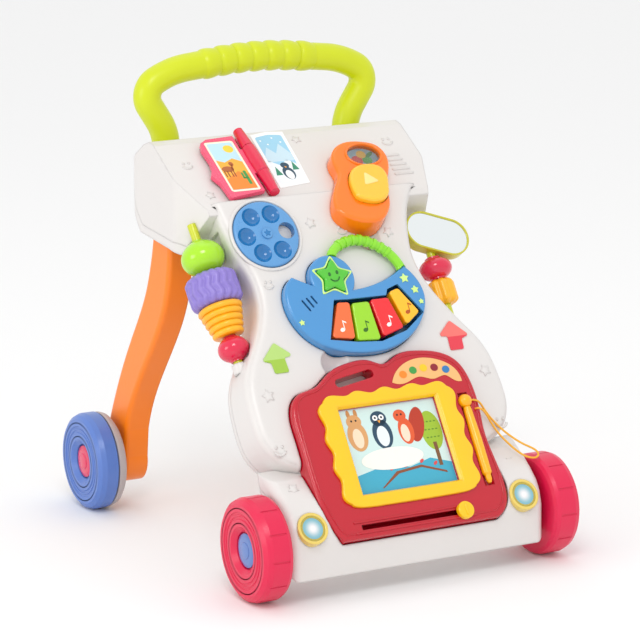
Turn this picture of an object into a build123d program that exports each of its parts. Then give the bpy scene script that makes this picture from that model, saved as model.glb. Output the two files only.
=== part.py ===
"""Baby walker with a sloped activity panel. Millimetres, +Z up, the front of the walker faces -Y.

Origin on the floor, midway between the two axles. The activity panel is one tilted plane; its
parts are placed with panel coordinates u (to the right), v (up the slope) and h (out of it).
"""
from build123d import *
import math
import os

os.makedirs("parts", exist_ok=True)

# ---- driving dimensions -------------------------------------------------------------------
WHEEL_R = 50.0          # all four wheels
AXLE_Y = 178.0          # half the wheelbase
AXLE_R = 3.0            # steel axles
BORE_GAP = 0.05         # radial running clearance of every turning part
WALL = 3.0              # moulded wall of the two body shells
TILT = 56.0             # panel slope
PLATE = 48.0            # depth of the panel moulding behind its face
FOOT_W = 139.6          # half width of the foot
BLOCK_W = 140.5         # half width of the shoulder
LEG_X = (111.4, 137.4)  # inner and outer face of a rear leg
HANDLE_R = 14.0         # grip tube
SHELF_TILT = 32.0       # slope of the shoulder shelf
TOY_TILT = 38.7         # slope of the push toy
SINK = 10.0             # depth of the drawing board well

PANEL = Plane(
    origin=(0, -163.65, 126.1),
    x_dir=(1, 0, 0),
    z_dir=(0, -math.sin(math.radians(TILT)), math.cos(math.radians(TILT))),
)
SHELF = Plane(
    origin=(0, -15.0, 341.5),
    x_dir=(1, 0, 0),
    z_dir=(0, -math.sin(math.radians(SHELF_TILT)), math.cos(math.radians(SHELF_TILT))),
)
TOY = Plane(
    origin=(0, -47.25, 330.0),
    x_dir=(1, 0, 0),
    z_dir=(0, -math.sin(math.radians(TOY_TILT)), math.cos(math.radians(TOY_TILT))),
)
X_AXIS = (1, 0, 0)


def spot(base, u, v, h=0.0):
    """Plane parallel to base, centred on the point (u, v, h) of base."""
    return Plane(base.location * Location((u, v, h)))


def save(part, name):
    """Label a finished part and write its STEP file."""
    part.label = name
    export_step(part, "parts/" + name + ".step")
    print(name, round(part.volume), len(part.solids()))


def shifted(loop, amount):
    """Closed outline with every point moved outwards by amount along its own normal."""
    area = sum(a[0] * b[1] - b[0] * a[1] for a, b in zip(loop, loop[1:] + loop[:1]))
    turn = 1 if area > 0 else -1
    moved = []
    for before, here, after in zip(loop[-1:] + loop[:-1], loop, loop[1:] + loop[:1]):
        along = (after[0] - before[0], after[1] - before[1])
        reach = turn * amount / math.hypot(*along)
        moved.append((here[0] + along[1] * reach, here[1] - along[0] * reach))
    return moved


# ---- body envelope ------------------------------------------------------------------------
RIGHT_EDGE = [
    (112, 268), (104, 258), (97, 246), (91, 230), (87, 212), (85, 195), (87, 177),
    (95, 154), (105, 136), (116, 118), (127, 102), (135, 84), (139, 62), (140, 42),
    (138, 24), (130, 8), (116, -4),
]
LEFT_EDGE = [
    (-118, 268), (-116, 258), (-114, 245), (-111, 230), (-107, 212), (-101, 195), (-98, 177),
    (-100, 154), (-107, 136), (-117, 118), (-127, 102), (-135, 84), (-138.5, 62), (-139, 42),
    (-137, 24), (-129, 8), (-115, -4),
]
FOOT_SIDE = [
    (-214, 22.5), (-213, 60), (-209, 74), (-202, 84.5), (-191, 94), (-180.2, 101.6),
    (-168, 109), (-144, 113), (-150, 95), (-157, 88), (-160, 28),
]
SHELF_END = 341.5 + 83 * math.tan(math.radians(SHELF_TILT))
BLOCK_SIDE = [
    (-18, 336), (-15, 341.5), (68, SHELF_END), (78, 396), (90, 392), (122, 372), (132, 360),
    (122, 325), (100, 302), (36, 296), (17, 293),
]


def torso(inset):
    """Waisted panel moulding, made smaller by inset on every side."""
    tongue = [(98, -12), (98, -46), (-98, -46), (-98, -12)]
    loop = shifted(RIGHT_EDGE + tongue + LEFT_EDGE[::-1], -inset)
    with BuildPart() as made:
        with BuildSketch(PANEL.offset(-inset)):
            with BuildLine():
                Spline(*loop[:17])
                Polyline(*loop[16:22])
                Spline(*loop[21:])
                Line(loop[-1], loop[0])
            make_face()
        extrude(amount=-(PLATE - 2 * inset))
        if not inset:
            front = made.faces().sort_by(Axis(PANEL.origin, PANEL.z_dir))[-1]
            fillet(front.edges().filter_by(GeomType.BSPLINE), 9)
    return made.part


def foot(inset):
    """Foot across the front axle, made smaller by inset on every side."""
    with BuildPart() as made:
        with BuildSketch(Plane.YZ):
            with BuildLine():
                Polyline(*FOOT_SIDE, close=True)
            make_face()
            if inset:
                offset(amount=-inset, kind=Kind.INTERSECTION, mode=Mode.REPLACE)
        extrude(amount=FOOT_W - 1.6 * inset, both=True)
        if not inset:
            for side in (0, -1):
                end = made.faces().sort_by(Axis.X)[side]
                fillet(end.edges().filter_by(lambda e: e.center().Y < -175), 9)
    return made.part


def shoulder(inset):
    """Shoulder block with the shelf on top, made smaller by inset on every side."""
    with BuildPart() as made:
        with BuildSketch(Plane.YZ):
            with BuildLine():
                Polyline(*BLOCK_SIDE, close=True)
            make_face()
            if inset:
                offset(amount=-inset, kind=Kind.INTERSECTION, mode=Mode.REPLACE)
        extrude(amount=BLOCK_W - inset, both=True)
        with BuildSketch(Plane.XY.offset(250)):
            with BuildLine():
                Polyline((-118, -30), (118, -30), (BLOCK_W, 25), (BLOCK_W, 140), (-BLOCK_W, 140),
                         (-BLOCK_W, 25), close=True)
            make_face()
            fillet(vertices().filter_by(lambda p: p.Y > 100), 34)
            fillet(vertices().filter_by(lambda p: 0 < p.Y < 100), 20)
            if inset:
                offset(amount=-inset, kind=Kind.INTERSECTION, mode=Mode.REPLACE)
        extrude(amount=200, mode=Mode.INTERSECT)
    return made.part


ROD_L = Plane(PANEL.location * Location((-128.3, 180, -27), (-90, 0, 0)) * Location((0, 0, 0), (0, -3, 0)))
ROD_R = Plane(PANEL.location * Location((119, 180, -27), (-90, 0, 0)))


def rod(base, low, high, radius):
    """Round bar along a bead axis."""
    with BuildPart() as made:
        with BuildSketch(base.offset(low)):
            Circle(radius)
        extrude(amount=high - low)
    return made.part


def bead_room(grow):
    """Room round two of the left beads, where the body is cut back."""
    with BuildPart() as made:
        add(rod(ROD_L, -68 - grow, -40 + grow, 16.3 + grow))
        add(rod(ROD_L, 22 - grow, 62 + grow, 22.2 + grow))
    return made.part


def envelope(inset):
    """The whole body as one closed solid."""
    with BuildPart() as made:
        add(torso(inset))
        add(foot(inset))
        add(shoulder(inset))
        add(bead_room(inset), mode=Mode.SUBTRACT)
    return made.part


# ---- solids that other parts are cut by ------------------------------------------------------
def leg_solid():
    """Right rear leg, one curved moulding ending in a round eye on the axle."""
    front = [(37, 336), (41, 298), (45, 272), (53, 240), (75, 200), (105, 160), (133, 120), (149, 84)]
    back = [(197, 76), (181, 110), (158, 152), (129, 196), (101, 240), (86, 280), (79, 312), (77, 336)]
    with BuildPart() as made:
        with BuildSketch(Plane.YZ.offset(LEG_X[0])):
            with BuildLine():
                Spline(*front)
                Line(front[-1], (153, 50))
                Line((153, 50), (203, 50))
                Line((203, 50), back[0])
                Spline(*back)
                Line(back[-1], front[0])
            make_face()
            with Locations((AXLE_Y, 50)):
                Circle(26)
        extrude(amount=LEG_X[1] - LEG_X[0])
        outer = made.faces().sort_by(Axis.X)[-1]
        fillet(outer.edges().filter_by(lambda e: e.center().Z < 300), 5)
        with BuildSketch(Plane.YZ.offset(LEG_X[1])):
            with Locations((AXLE_Y, 50)):
                Circle(13)
        extrude(amount=6)
    return made.part


def handle_path():
    """Centre line of the push handle, in the upright plane y = 117."""
    with BuildLine(Plane(origin=(0, 117, 0), x_dir=X_AXIS, z_dir=(0, -1, 0))) as path:
        FilletPolyline(
            (103, 338), (103, 397), (131, 441), (96, 459), (0, 469), (-96, 459), (-131, 441),
            (-103, 397), (-103, 338),
            radius=[50, 18, 90, 400, 90, 18, 50],
        )
    return path


def tube(radius):
    """Solid bar of the given radius along the handle path."""
    path = handle_path()
    with BuildPart() as made:
        with BuildSketch(Plane(origin=(103, 117, 338), z_dir=(0, 0, 1))):
            Circle(radius)
        sweep(path=path.line)
    return made.part


BOARD = [
    (-86, -88), (-94, -76), (-102, -40), (-103, 20), (-100, 50), (-91, 61), (-72, 66), (-50, 80),
    (-25, 87), (-4, 86), (8, 81), (26, 88), (50, 90), (74, 85), (90, 74), (98, 54), (99, 20),
    (97, 0), (101, -50), (97, -76), (84, -88),
]
PIANO_OUT = [(-62, 179), (-73, 166), (-75, 148), (-68, 126), (-52, 108), (-28, 97), (0, 93),
             (28, 96), (52, 108), (69, 126), (76, 146), (72, 164), (62, 178)]
PIANO_IN = [(62, 178), (46, 169), (24, 162), (0, 159), (-24, 161), (-44, 169), (-62, 179)]
TOY_OUTLINE = [(5, 12), (10, 28), (19, 42), (26, 54), (27, 68), (32, 82), (42, 91), (56, 94.5),
               (72, 92.5), (84, 87), (90, 74), (87, 58), (79, 43), (72, 28), (68, 13), (61, 1),
               (51, -8), (38, -11.5), (22, -7.5), (11, 0)]


def board_blank(grow, low, high):
    """Outline of the drawing board as a slab between the heights low and high."""
    loop = shifted(BOARD, grow)
    with BuildPart() as made:
        with BuildSketch(PANEL.offset(low)):
            with BuildLine():
                Spline(*loop)
                Line(loop[-1], loop[0])
            make_face()
        extrude(amount=high - low)
    return made.part


def piano_blank(grow, low, high):
    """Crescent outline of the piano as a slab between the heights low and high."""
    loop = shifted(PIANO_OUT + PIANO_IN[1:-1], grow)
    with BuildPart() as made:
        with BuildSketch(PANEL.offset(low)):
            with BuildLine():
                Spline(*loop[:13])
                Spline(*loop[12:], loop[0])
            make_face()
            with Locations((-19, 173.5)):
                Circle(24 + grow)
        extrude(amount=high - low)
    return made.part


def toy_blank(grow, low, high):
    """Outline of the push toy as a slab between the heights low and high."""
    with BuildPart() as made:
        with BuildSketch(TOY.offset(low)):
            with BuildLine():
                Spline(*shifted(TOY_OUTLINE, grow), periodic=True)
            make_face()
        extrude(amount=high - low)
    return made.part


def prism(base, points, low, high):
    """Straight-sided block between two heights over base."""
    with BuildPart() as made:
        with BuildSketch(base.offset(low)):
            with BuildLine():
                Polyline(*points, close=True)
            make_face()
        extrude(amount=high - low)
    return made.part


def disc(base, radius, low, high):
    """Round slab between two heights over base."""
    with BuildPart() as made:
        with BuildSketch(base.offset(low)):
            Circle(radius)
        extrude(amount=high - low)
    return made.part


# ---- fastened and turning hardware -----------------------------------------------------------
SCREWS = [(70, 138), (-74, 138), (-5, 243), (122, 50), (-122, 50)]   # body screws, panel (u, v)
DIAL = (-71.5, 229, 34.5)                                            # u, v, radius
LAMP_U, LAMP_V = 116.5, -71.0                                        # headlight centres


def front_axle_bar():
    """Steel axle right through the foot."""
    with BuildPart() as front_axle:
        with BuildSketch(Plane(origin=(-166.4, -AXLE_Y, 50), z_dir=X_AXIS)):
            Circle(AXLE_R)
        extrude(amount=332.8)
        chamfer(front_axle.edges().filter_by(GeomType.CIRCLE), 0.6)
    return front_axle.part


def rear_axle_stubs():
    """Two short steel axles held in the eyes of the rear legs."""
    with BuildPart() as rear_axles:
        with BuildSketch(Plane(origin=(LEG_X[0] - 3, AXLE_Y, 50), z_dir=X_AXIS)):
            Circle(AXLE_R)
        extrude(amount=168.4 - LEG_X[0] + 3)
        with BuildSketch(Plane(origin=(LEG_X[0] - 3, AXLE_Y, 50), z_dir=X_AXIS)):
            Circle(6)
        extrude(amount=3)
        mirror(about=Plane.YZ)
    return rear_axles.part


def screw_set():
    """Five identical pan-head screws through the rear cover."""
    with BuildPart() as screws:
        for u, v in SCREWS:
            with BuildSketch(spot(PANEL, u, v, -PLATE - 1.8)):
                Circle(3.6)
            extrude(amount=1.8)
            with BuildSketch(spot(PANEL, u, v, -PLATE)):
                Circle(1.5)
            extrude(amount=14)
    return screws.part


def wheel_section(points, x_shift, y):
    """Turn a wheel profile, given as (x, radius) for the right side, about its axle."""
    with BuildPart() as made:
        with BuildSketch(Plane(origin=(0, y, 50), x_dir=X_AXIS, z_dir=(0, -1, 0))):
            with BuildLine():
                Polyline(*[(x + x_shift, r) for x, r in points], close=True)
            make_face()
        revolve(axis=Axis((0, y, 50), X_AXIS))
    return made.part


def front_wheel(side):
    """Hollow moulded front wheel with a stepped face and shallow tread grooves."""
    bore = AXLE_R + BORE_GAP
    outer = [(144, bore), (144, 45), (145.6, 48.4), (149, 50), (166, 50), (171, 48.2), (174, 44),
             (174, 37), (173, 36.4), (173, 30.6), (174, 30), (174, 23), (170, 18), (167, 17.4),
             (167, bore)]
    inner = [(147, 9), (147, 43.5), (150, 46.5), (165, 46.5), (169, 44.5), (170.4, 42),
             (170.4, 26), (164, 20.5), (164, 9)]
    with BuildPart() as wheel:
        add(wheel_section(outer, 0, -AXLE_Y))
        add(wheel_section(inner, 0, -AXLE_Y), mode=Mode.SUBTRACT)
        with Locations(Location((159, -AXLE_Y, 50), (0, 90, 0))):
            with PolarLocations(50.2, 12):
                Box(1.6, 1.6, 18, mode=Mode.SUBTRACT)
        if side < 0:
            mirror(about=Plane.YZ, mode=Mode.REPLACE)
    return wheel.part


def rear_wheel(side):
    """Hollow moulded rear wheel, the coloured outer part."""
    bore = AXLE_R + BORE_GAP
    outer = [(144, bore), (144, 9.5), (154, 9.5), (154, 47), (156, 50), (168, 50), (173, 48),
             (176, 44), (176, 37), (175, 36.4), (175, 30.6), (176, 30), (176, 23), (172, 18),
             (169, 17.4), (169, bore)]
    inner = [(157, 9), (157, 45), (158, 46.5), (167, 46.5), (171, 44.5), (172.4, 42),
             (172.4, 26), (166, 20.5), (166, 9)]
    with BuildPart() as wheel:
        add(wheel_section(outer, 0, AXLE_Y))
        add(wheel_section(inner, 0, AXLE_Y), mode=Mode.SUBTRACT)
        if side < 0:
            mirror(about=Plane.YZ, mode=Mode.REPLACE)
    return wheel.part


def rear_ring(side):
    """Grey soft ring on the inner half of a rear wheel."""
    with BuildPart() as ring:
        add(wheel_section([(144, 9.5), (144, 44), (147, 48), (151, 49.4), (154, 49.4), (154, 9.5)],
                          0, AXLE_Y))
        if side < 0:
            mirror(about=Plane.YZ, mode=Mode.REPLACE)
    return ring.part


def hub_cap(side, y, floor):
    """Domed cap that snaps into a wheel's hub, floor is the x of the hub's bottom."""
    with BuildPart() as cap:
        add(wheel_section([(floor, 0), (floor, 16.3), (floor + 2.4, 16.3), (floor + 3.4, 13),
                           (floor + 3.9, 7), (floor + 4, 0)], 0, y))
        if side < 0:
            mirror(about=Plane.YZ, mode=Mode.REPLACE)
    return cap.part


# ---- headlights, arrows ------------------------------------------------------------------------
LAMP_N = 8.5    # height of the headlight face above the panel plane


def lamp_bezels():
    """Two oval headlight rims."""
    with BuildPart() as headlight_bezels:
        for side in (-1, 1):
            with BuildSketch(spot(PANEL, side * LAMP_U, LAMP_V, LAMP_N - 7.5)):
                Circle(15.5)
                Circle(12.4, mode=Mode.SUBTRACT)
            extrude(amount=9)
        fillet(headlight_bezels.edges().filter_by(GeomType.CIRCLE).group_by(
            Axis(PANEL.origin, PANEL.z_dir))[-1], 0.8)
    return headlight_bezels.part


def lamp_lenses():
    """Two shallow domed headlight lenses."""
    with BuildPart() as headlight_lenses:
        for side in (-1, 1):
            with BuildSketch(spot(PANEL, side * LAMP_U, LAMP_V, LAMP_N - 7.5)):
                Circle(12.4)
            extrude(amount=8.1)
    return headlight_lenses.part


def arrow_pair():
    """Two raised arrow badges on the panel, pointing up the slope and outwards."""
    with BuildPart() as arrow_badges:
        for u, v, turn in ((-97, 101, 1), (99, 101, -1)):
            with BuildSketch(spot(PANEL, u, v, -0.8)):
                with BuildLine():
                    Polyline((0, 17), (turn * 17, 2), (turn * 7, 1), (turn * 8, -14), (-turn * 7, -14),
                             (-turn * 8, -3), (-turn * 17, 0), close=True)
                make_face()
                fillet(vertices(), 2.0)
            extrude(amount=1.6)
    return arrow_badges.part


# ---- dial ---------------------------------------------------------------------------------------
def dial():
    """Turning disc with five finger dimples and one through hole."""
    u, v, radius = DIAL
    with BuildPart() as dial_disc:
        with BuildSketch(spot(PANEL, u, v, -5)):
            Circle(radius)
            Circle(3 + BORE_GAP, mode=Mode.SUBTRACT)
        extrude(amount=8)
        fillet(dial_disc.edges().filter_by(GeomType.CIRCLE).group_by(
            Axis(PANEL.origin, PANEL.z_dir))[-1].sort_by(SortBy.LENGTH)[-1], 2.2)
        with Locations(spot(PANEL, u, v, 8.5)):
            with PolarLocations(22, 5, start_angle=75):
                Sphere(11, mode=Mode.SUBTRACT)
        with BuildSketch(spot(PANEL, u + 22 * math.cos(math.radians(3)),
                              v + 22 * math.sin(math.radians(3)), -6)):
            Circle(8.6)
        extrude(amount=12, mode=Mode.SUBTRACT)
    return dial_disc.part


def dial_pin():
    """Headed pin that the dial turns on."""
    u, v, _ = DIAL
    with BuildPart() as dial_spindle:
        add(disc(spot(PANEL, u, v), 3, -12, 3.3))
        add(disc(spot(PANEL, u, v), 5.5, 3.3, 4.8))
    return dial_spindle.part


# ---- push toy -----------------------------------------------------------------------------------
BUTTON_OUTLINE = [(30, 21), (31, 36), (37, 50), (48, 57), (60, 58), (71, 54), (75, 44), (71, 28),
                  (65, 16), (54, 10), (40, 12)]


def toy_button_blank(grow, low, high):
    """Rounded outline of the big button as a slab."""
    with BuildPart() as made:
        with BuildSketch(TOY.offset(low)):
            with BuildLine():
                Spline(*shifted(BUTTON_OUTLINE, grow), periodic=True)
            make_face()
        extrude(amount=high - low)
    return made.part


def toy_housing_part():
    """Orange housing with a lens opening and a well for the button."""
    with BuildPart() as toy_housing:
        add(toy_blank(0, -24, 0))
        top = toy_housing.faces().sort_by(Axis(TOY.origin, TOY.z_dir))[-1]
        fillet(top.edges(), 3.5)
        add(toy_button_blank(0.6, -11, 1), mode=Mode.SUBTRACT)
        with BuildSketch(spot(TOY, 64, 74, -7)):
            Ellipse(18, 13)
        extrude(amount=8, mode=Mode.SUBTRACT)
        add(toy_blank(-3, -24.5, -14), mode=Mode.SUBTRACT)
    return toy_housing.part


def toy_lens():
    """Clear oval lens over the picture."""
    with BuildPart() as toy_window:
        with BuildSketch(spot(TOY, 64, 74, -3.5)):
            Ellipse(18, 13)
        extrude(amount=1.5)
    return toy_window.part


def toy_card():
    """Picture card under the lens."""
    with BuildPart() as toy_picture:
        with BuildSketch(spot(TOY, 64, 74, -7)):
            Ellipse(18, 13)
        extrude(amount=0.8)
    return toy_picture.part


def toy_button_part():
    """Big rounded push button, travels 3 mm into its well."""
    with BuildPart() as toy_button:
        add(toy_button_blank(0, -7.5, 6))
        top = toy_button.faces().sort_by(Axis(TOY.origin, TOY.z_dir))[-1]
        fillet(top.edges(), 3)
    return toy_button.part


# ---- book ---------------------------------------------------------------------------------------
SPINE_U, SPINE_H = -48.4, 7.2


def spine_segment(low, high, radius_low, radius_high):
    """One tapered length of the book's spine along the shelf slope."""
    base = Plane(SHELF.location * Location((SPINE_U, low, SPINE_H), (-90, 0, 0)))
    with BuildPart() as made:
        with BuildSketch(base):
            Circle(radius_low)
        with BuildSketch(base.offset(high - low)):
            Circle(radius_high)
        loft()
    return made.part


def book_spine_ends_part():
    """Fixed lower and upper thirds of the spine, each on its own foot."""
    with BuildPart() as book_spine_ends:
        add(spine_segment(8, 36.5, 5.2, 6.9))
        add(spine_segment(74.5, 100, 6.9, 5.2))
        for w in (12, 78):
            add(prism(SHELF, [(SPINE_U - 3, w), (SPINE_U + 3, w), (SPINE_U + 3, w + 18),
                              (SPINE_U - 3, w + 18)], -3, 6))
        add(book_pin_bar(), mode=Mode.SUBTRACT)
    return book_spine_ends.part


def book_pin_bar():
    """Steel pin through the spine."""
    base = Plane(SHELF.location * Location((SPINE_U, 15, SPINE_H), (-90, 0, 0)))
    with BuildPart() as book_pin:
        with BuildSketch(base):
            Circle(1.5)
        extrude(amount=80)
    return book_pin.part


LEAF = [(-57.5, 12), (-97, 6), (-99, 28), (-104, 40), (-99, 50), (-97, 60), (-98, 78), (-96, 87),
        (-88, 92), (-57.5, 94)]


def book_leaf_part():
    """Turning leaf: a raised frame hinged on the middle third of the spine."""
    bore = Plane(SHELF.location * Location((SPINE_U, 35, SPINE_H), (-90, 0, 0)))
    with BuildPart() as book_leaf:
        with BuildSketch(SHELF.offset(3.0)):
            with BuildLine():
                Polyline(*LEAF, close=True)
            make_face()
            fillet(vertices().filter_by(lambda p: p.X < -85), 3)
        extrude(amount=4.6)
        with BuildSketch(SHELF.offset(6.4)):
            with Locations((-76.5, 51)):
                RectangleRounded(32, 74, 3)
        extrude(amount=2, mode=Mode.SUBTRACT)
        add(spine_segment(37, 55.5, 6.9, 7.2))
        add(spine_segment(55.5, 74, 7.2, 6.9))
        add(prism(SHELF, [(-58.5, 37.5), (-50.4, 37.5), (-50.4, 73.5), (-58.5, 73.5)], 3.0, 7.6))
        with BuildSketch(bore):
            Circle(1.5 + BORE_GAP)
        extrude(amount=50, mode=Mode.SUBTRACT)
    return book_leaf.part


def leaf_card():
    """Printed card let into the leaf."""
    with BuildPart() as book_leaf_card:
        with BuildSketch(SHELF.offset(6.4)):
            with Locations((-76.5, 51)):
                RectangleRounded(32, 74, 3)
        extrude(amount=0.8)
    return book_leaf_card.part


def page_card():
    """Fixed printed page on the shelf."""
    with BuildPart() as book_page_card:
        with BuildSketch(SHELF.offset(0)):
            with BuildLine():
                Polyline((-35, 20), (0, 24), (2.5, 60), (4, 101), (-14, 103), (-33, 100), close=True)
            make_face()
        extrude(amount=0.8)
    return book_page_card.part


# ---- beads and mirror ---------------------------------------------------------------------------
ROD_R_MM = 4.5


def bead(base, points):
    """Bead turned from (distance along the rod, radius) points, bored for the rod."""
    with BuildPart() as made:
        with BuildSketch(Plane(base.location * Location((0, 0, 0), (0, -90, 0)))):
            with BuildLine():
                Polyline((points[0][0], 0), *points, (points[-1][0], 0), close=True)
            make_face()
        revolve(axis=Axis(base.origin, base.z_dir))
        with BuildSketch(base.offset(-100)):
            Circle(ROD_R_MM + BORE_GAP)
        extrude(amount=200, mode=Mode.SUBTRACT)
    return made.part


def ball_points(low, high, radius, flat=6.5):
    """Half outline of a ball with flattened poles."""
    middle = (low + high) / 2
    half = (high - low) / 2
    points = []
    for step in range(9):
        angle = math.radians(-90 + 180 * step / 8)
        points.append((middle + half * math.sin(angle), max(flat, radius * math.cos(angle))))
    return points


def bead_green_part():
    return bead(ROD_L, ball_points(24.2, 60, 21.5))


def bead_purple_part():
    """Toothed roller: eighteen shallow grooves down its side."""
    with BuildPart() as bead_purple:
        add(bead(ROD_L, [(-8.8, 22), (-6.8, 25), (-4, 26), (18, 26), (21.6, 24), (23.6, 20)]))
        with Locations(ROD_L.offset(7.4)):
            with PolarLocations(27, 18):
                Cylinder(2.1, 40, mode=Mode.SUBTRACT)
    return bead_purple.part


def bead_cone_part():
    """Ribbed cone of five rounded steps."""
    points = []
    for rib in range(5):
        low = -40.4 + rib * 6.2
        radius = 15.2 + rib * 1.6
        points += [(low, radius - 1.4), (low + 1.4, radius), (low + 4.6, radius + 0.6),
                   (low + 6.0, radius - 0.6)]
    return bead(ROD_L, points)


def bead_pink_part():
    return bead(ROD_L, ball_points(-67, -41, 15.5))


def ring_pink_part():
    return bead(ROD_R, ball_points(-9, 14.5, 17, 8))


def ring_yellow_part():
    """Ring with eight round lobes."""
    with BuildPart() as ring_yellow:
        add(bead(ROD_R, [(-36, 9), (-33, 12), (-12, 14), (-9.6, 10)]))
        with Locations(ROD_R.offset(-22.5)):
            with PolarLocations(15.2, 8):
                Cylinder(1.8, 30, mode=Mode.SUBTRACT)
    return ring_yellow.part


MIRROR = Plane(PANEL.location * Location((128, 217.5, -17), (0, 0, -21.6)))


def mirror_blank(length, width, low, high):
    """Stadium slab in the mirror's own plane."""
    with BuildPart() as made:
        with BuildSketch(MIRROR.offset(low)):
            SlotOverall(length, width)
        extrude(amount=high - low)
    return made.part


def mirror_frame_part():
    """Mirror housing, bored for the rod it swivels on."""
    with BuildPart() as mirror_frame:
        add(mirror_blank(70, 40, -16, 0))
        rear = mirror_frame.faces().sort_by(Axis(MIRROR.origin, MIRROR.z_dir))[0]
        fillet(rear.edges(), 5)
        add(mirror_blank(66.5, 36.5, -2.6, 1), mode=Mode.SUBTRACT)
        with BuildSketch(ROD_R.offset(-20)):
            Circle(ROD_R_MM + BORE_GAP)
        extrude(amount=20 + 45.4, mode=Mode.SUBTRACT)
    return mirror_frame.part


def mirror_glass_part():
    return mirror_blank(66.5, 36.5, -2.6, -1.0)


# ---- piano --------------------------------------------------------------------------------------
KEYS = {
    "key_orange": [(-38, 112.5), (-14, 108.5), (-9, 146.5), (-22, 147.5)],
    "key_green": [(-12, 106.5), (13.5, 104.5), (12, 145), (-7, 145)],
    "key_red": [(17, 107), (42, 114), (34, 146.5), (14, 146.5)],
    "key_yellow": [(46, 116), (64, 128), (48, 155), (37, 152)],
}
KEY_BAY = [(-41, 110.5), (-13, 105), (14, 102.5), (44, 110.5), (68.5, 127), (49, 159), (36, 155),
           (33, 149), (-10, 149.5), (-25, 150.5)]
STAR = (-19, 173.5)


def star_points(outer, inner):
    """Five-pointed star about the star button's centre."""
    points = []
    for step in range(10):
        angle = math.radians(82 + 36 * step)
        reach = outer if step % 2 == 0 else inner
        points.append((STAR[0] + reach * math.cos(angle), STAR[1] + reach * math.sin(angle)))
    return points


def key_part(name):
    """One piano key, a rounded wedge."""
    with BuildPart() as key:
        with BuildSketch(PANEL.offset(1.5)):
            with BuildLine():
                Polyline(*KEYS[name], close=True)
            make_face()
            fillet(vertices(), 3)
        extrude(amount=9)
        top = key.faces().sort_by(Axis(PANEL.origin, PANEL.z_dir))[-1]
        fillet(top.edges(), 1.6)
    return key.part


def star_button_part():
    """Star-shaped push button, travels 2.5 mm."""
    with BuildPart() as star_button:
        with BuildSketch(PANEL.offset(-1)):
            with BuildLine():
                Polyline(*star_points(20, 10.5), close=True)
            make_face()
            fillet(vertices(), 2.2)
        extrude(amount=14.5)
        top = star_button.faces().sort_by(Axis(PANEL.origin, PANEL.z_dir))[-1]
        fillet(top.edges(), 2)
    return star_button.part


def piano_body_part():
    """Blue front moulding with the key bay, the star's opening and the speaker slots."""
    with BuildPart() as piano_body:
        add(piano_blank(0, -3, 10))
        top = piano_body.faces().sort_by(Axis(PANEL.origin, PANEL.z_dir))[-1]
        fillet(top.edges(), 2.4)
        add(piano_blank(-2.5, -3.5, 7), mode=Mode.SUBTRACT)
        add(prism(PANEL, KEY_BAY, -4, 11), mode=Mode.SUBTRACT)
        with BuildSketch(PANEL.offset(-4)):
            with BuildLine():
                Polyline(*star_points(20, 10.5), close=True)
            make_face()
            fillet(vertices(), 2.2)
            offset(amount=0.5, mode=Mode.REPLACE)
        extrude(amount=16, mode=Mode.SUBTRACT)
        for step in range(3):
            with BuildSketch(spot(PANEL, -56 + 5 * step, 148 + 2.5 * step, 6)):
                SlotCenterToCenter(12 - 2 * step, 2, rotation=118)
            extrude(amount=6, mode=Mode.SUBTRACT)
    return piano_body.part


def piano_back_part():
    """Back tray of the piano with posts for the circuit board."""
    with BuildPart() as piano_back:
        add(piano_blank(0, -14.8, -3))
        add(piano_blank(-2.5, -12.3, -2), mode=Mode.SUBTRACT)
        for u in (-33, 33):
            for v in (116, 146):
                with BuildSketch(spot(PANEL, u, v, -12.3)):
                    Circle(3)
                extrude(amount=5.9)
    return piano_back.part


def piano_circuit_part():
    """Circuit board with its sound chip."""
    with BuildPart() as piano_circuit:
        with BuildSketch(PANEL.offset(-6.4)):
            with Locations((0, 131)):
                Rectangle(76, 40)
        extrude(amount=1.6)
        with BuildSketch(PANEL.offset(-4.8)):
            with Locations((-2, 140)):
                Rectangle(12, 8)
        extrude(amount=1.5)
    return piano_circuit.part


def piano_speaker_part():
    """Small speaker under the slots."""
    with BuildPart() as piano_speaker:
        add(disc(spot(PANEL, -50, 150), 12, 3, 7))
        add(disc(spot(PANEL, -50, 150), 8, -1, 3))
    return piano_speaker.part


def piano_pads_part():
    """Rubber contact pads under the four keys and the star."""
    with BuildPart() as piano_pads:
        for u, v in ((-24, 117), (1, 114.5), (28, 116.5)):
            add(disc(spot(PANEL, u, v), 3.5, -4.8, -1.8))
        add(disc(spot(PANEL, 49, 124), 3.5, -12.3, -1.8))
        add(disc(spot(PANEL, STAR[0], STAR[1]), 5, -12.3, -4))
    return piano_pads.part


def piano_cells_part():
    """Three button cells in the back tray."""
    with BuildPart() as piano_cells:
        for u in (-16, 0, 16):
            add(disc(spot(PANEL, u, 131), 5.8, -12.3, -6.9))
    return piano_cells.part


def piano_handle_part():
    """Knobbly carry handle arched over the piano."""
    with BuildLine(PANEL.offset(6.6)) as arch:
        Spline((-14, 186), (-9, 201), (6, 209.5), (22, 210.5), (40, 203), (53, 191), (60, 175))
    spine = arch.wire()
    with BuildPart() as piano_handle:
        with BuildSketch(Plane(spine @ 0, z_dir=spine % 0)):
            Circle(4.8)
        sweep(path=spine)
        with Locations(*[spine.location_at(0.26 + 0.075 * step) for step in range(8)]):
            Cylinder(5.7, 3.6)
        add(piano_blank(0, -16, 12), mode=Mode.SUBTRACT)
    return piano_handle.part


# ---- drawing board ------------------------------------------------------------------------------
WINDOW = (-1, -3, 106, 86)      # screen opening: centre u, v, width, height
SLIDE = (47, -77.5, 108)        # eraser knob: u, v at rest and its travel to the left
PEN_U, PEN_H = 84, 8.6          # stylus axis


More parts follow.
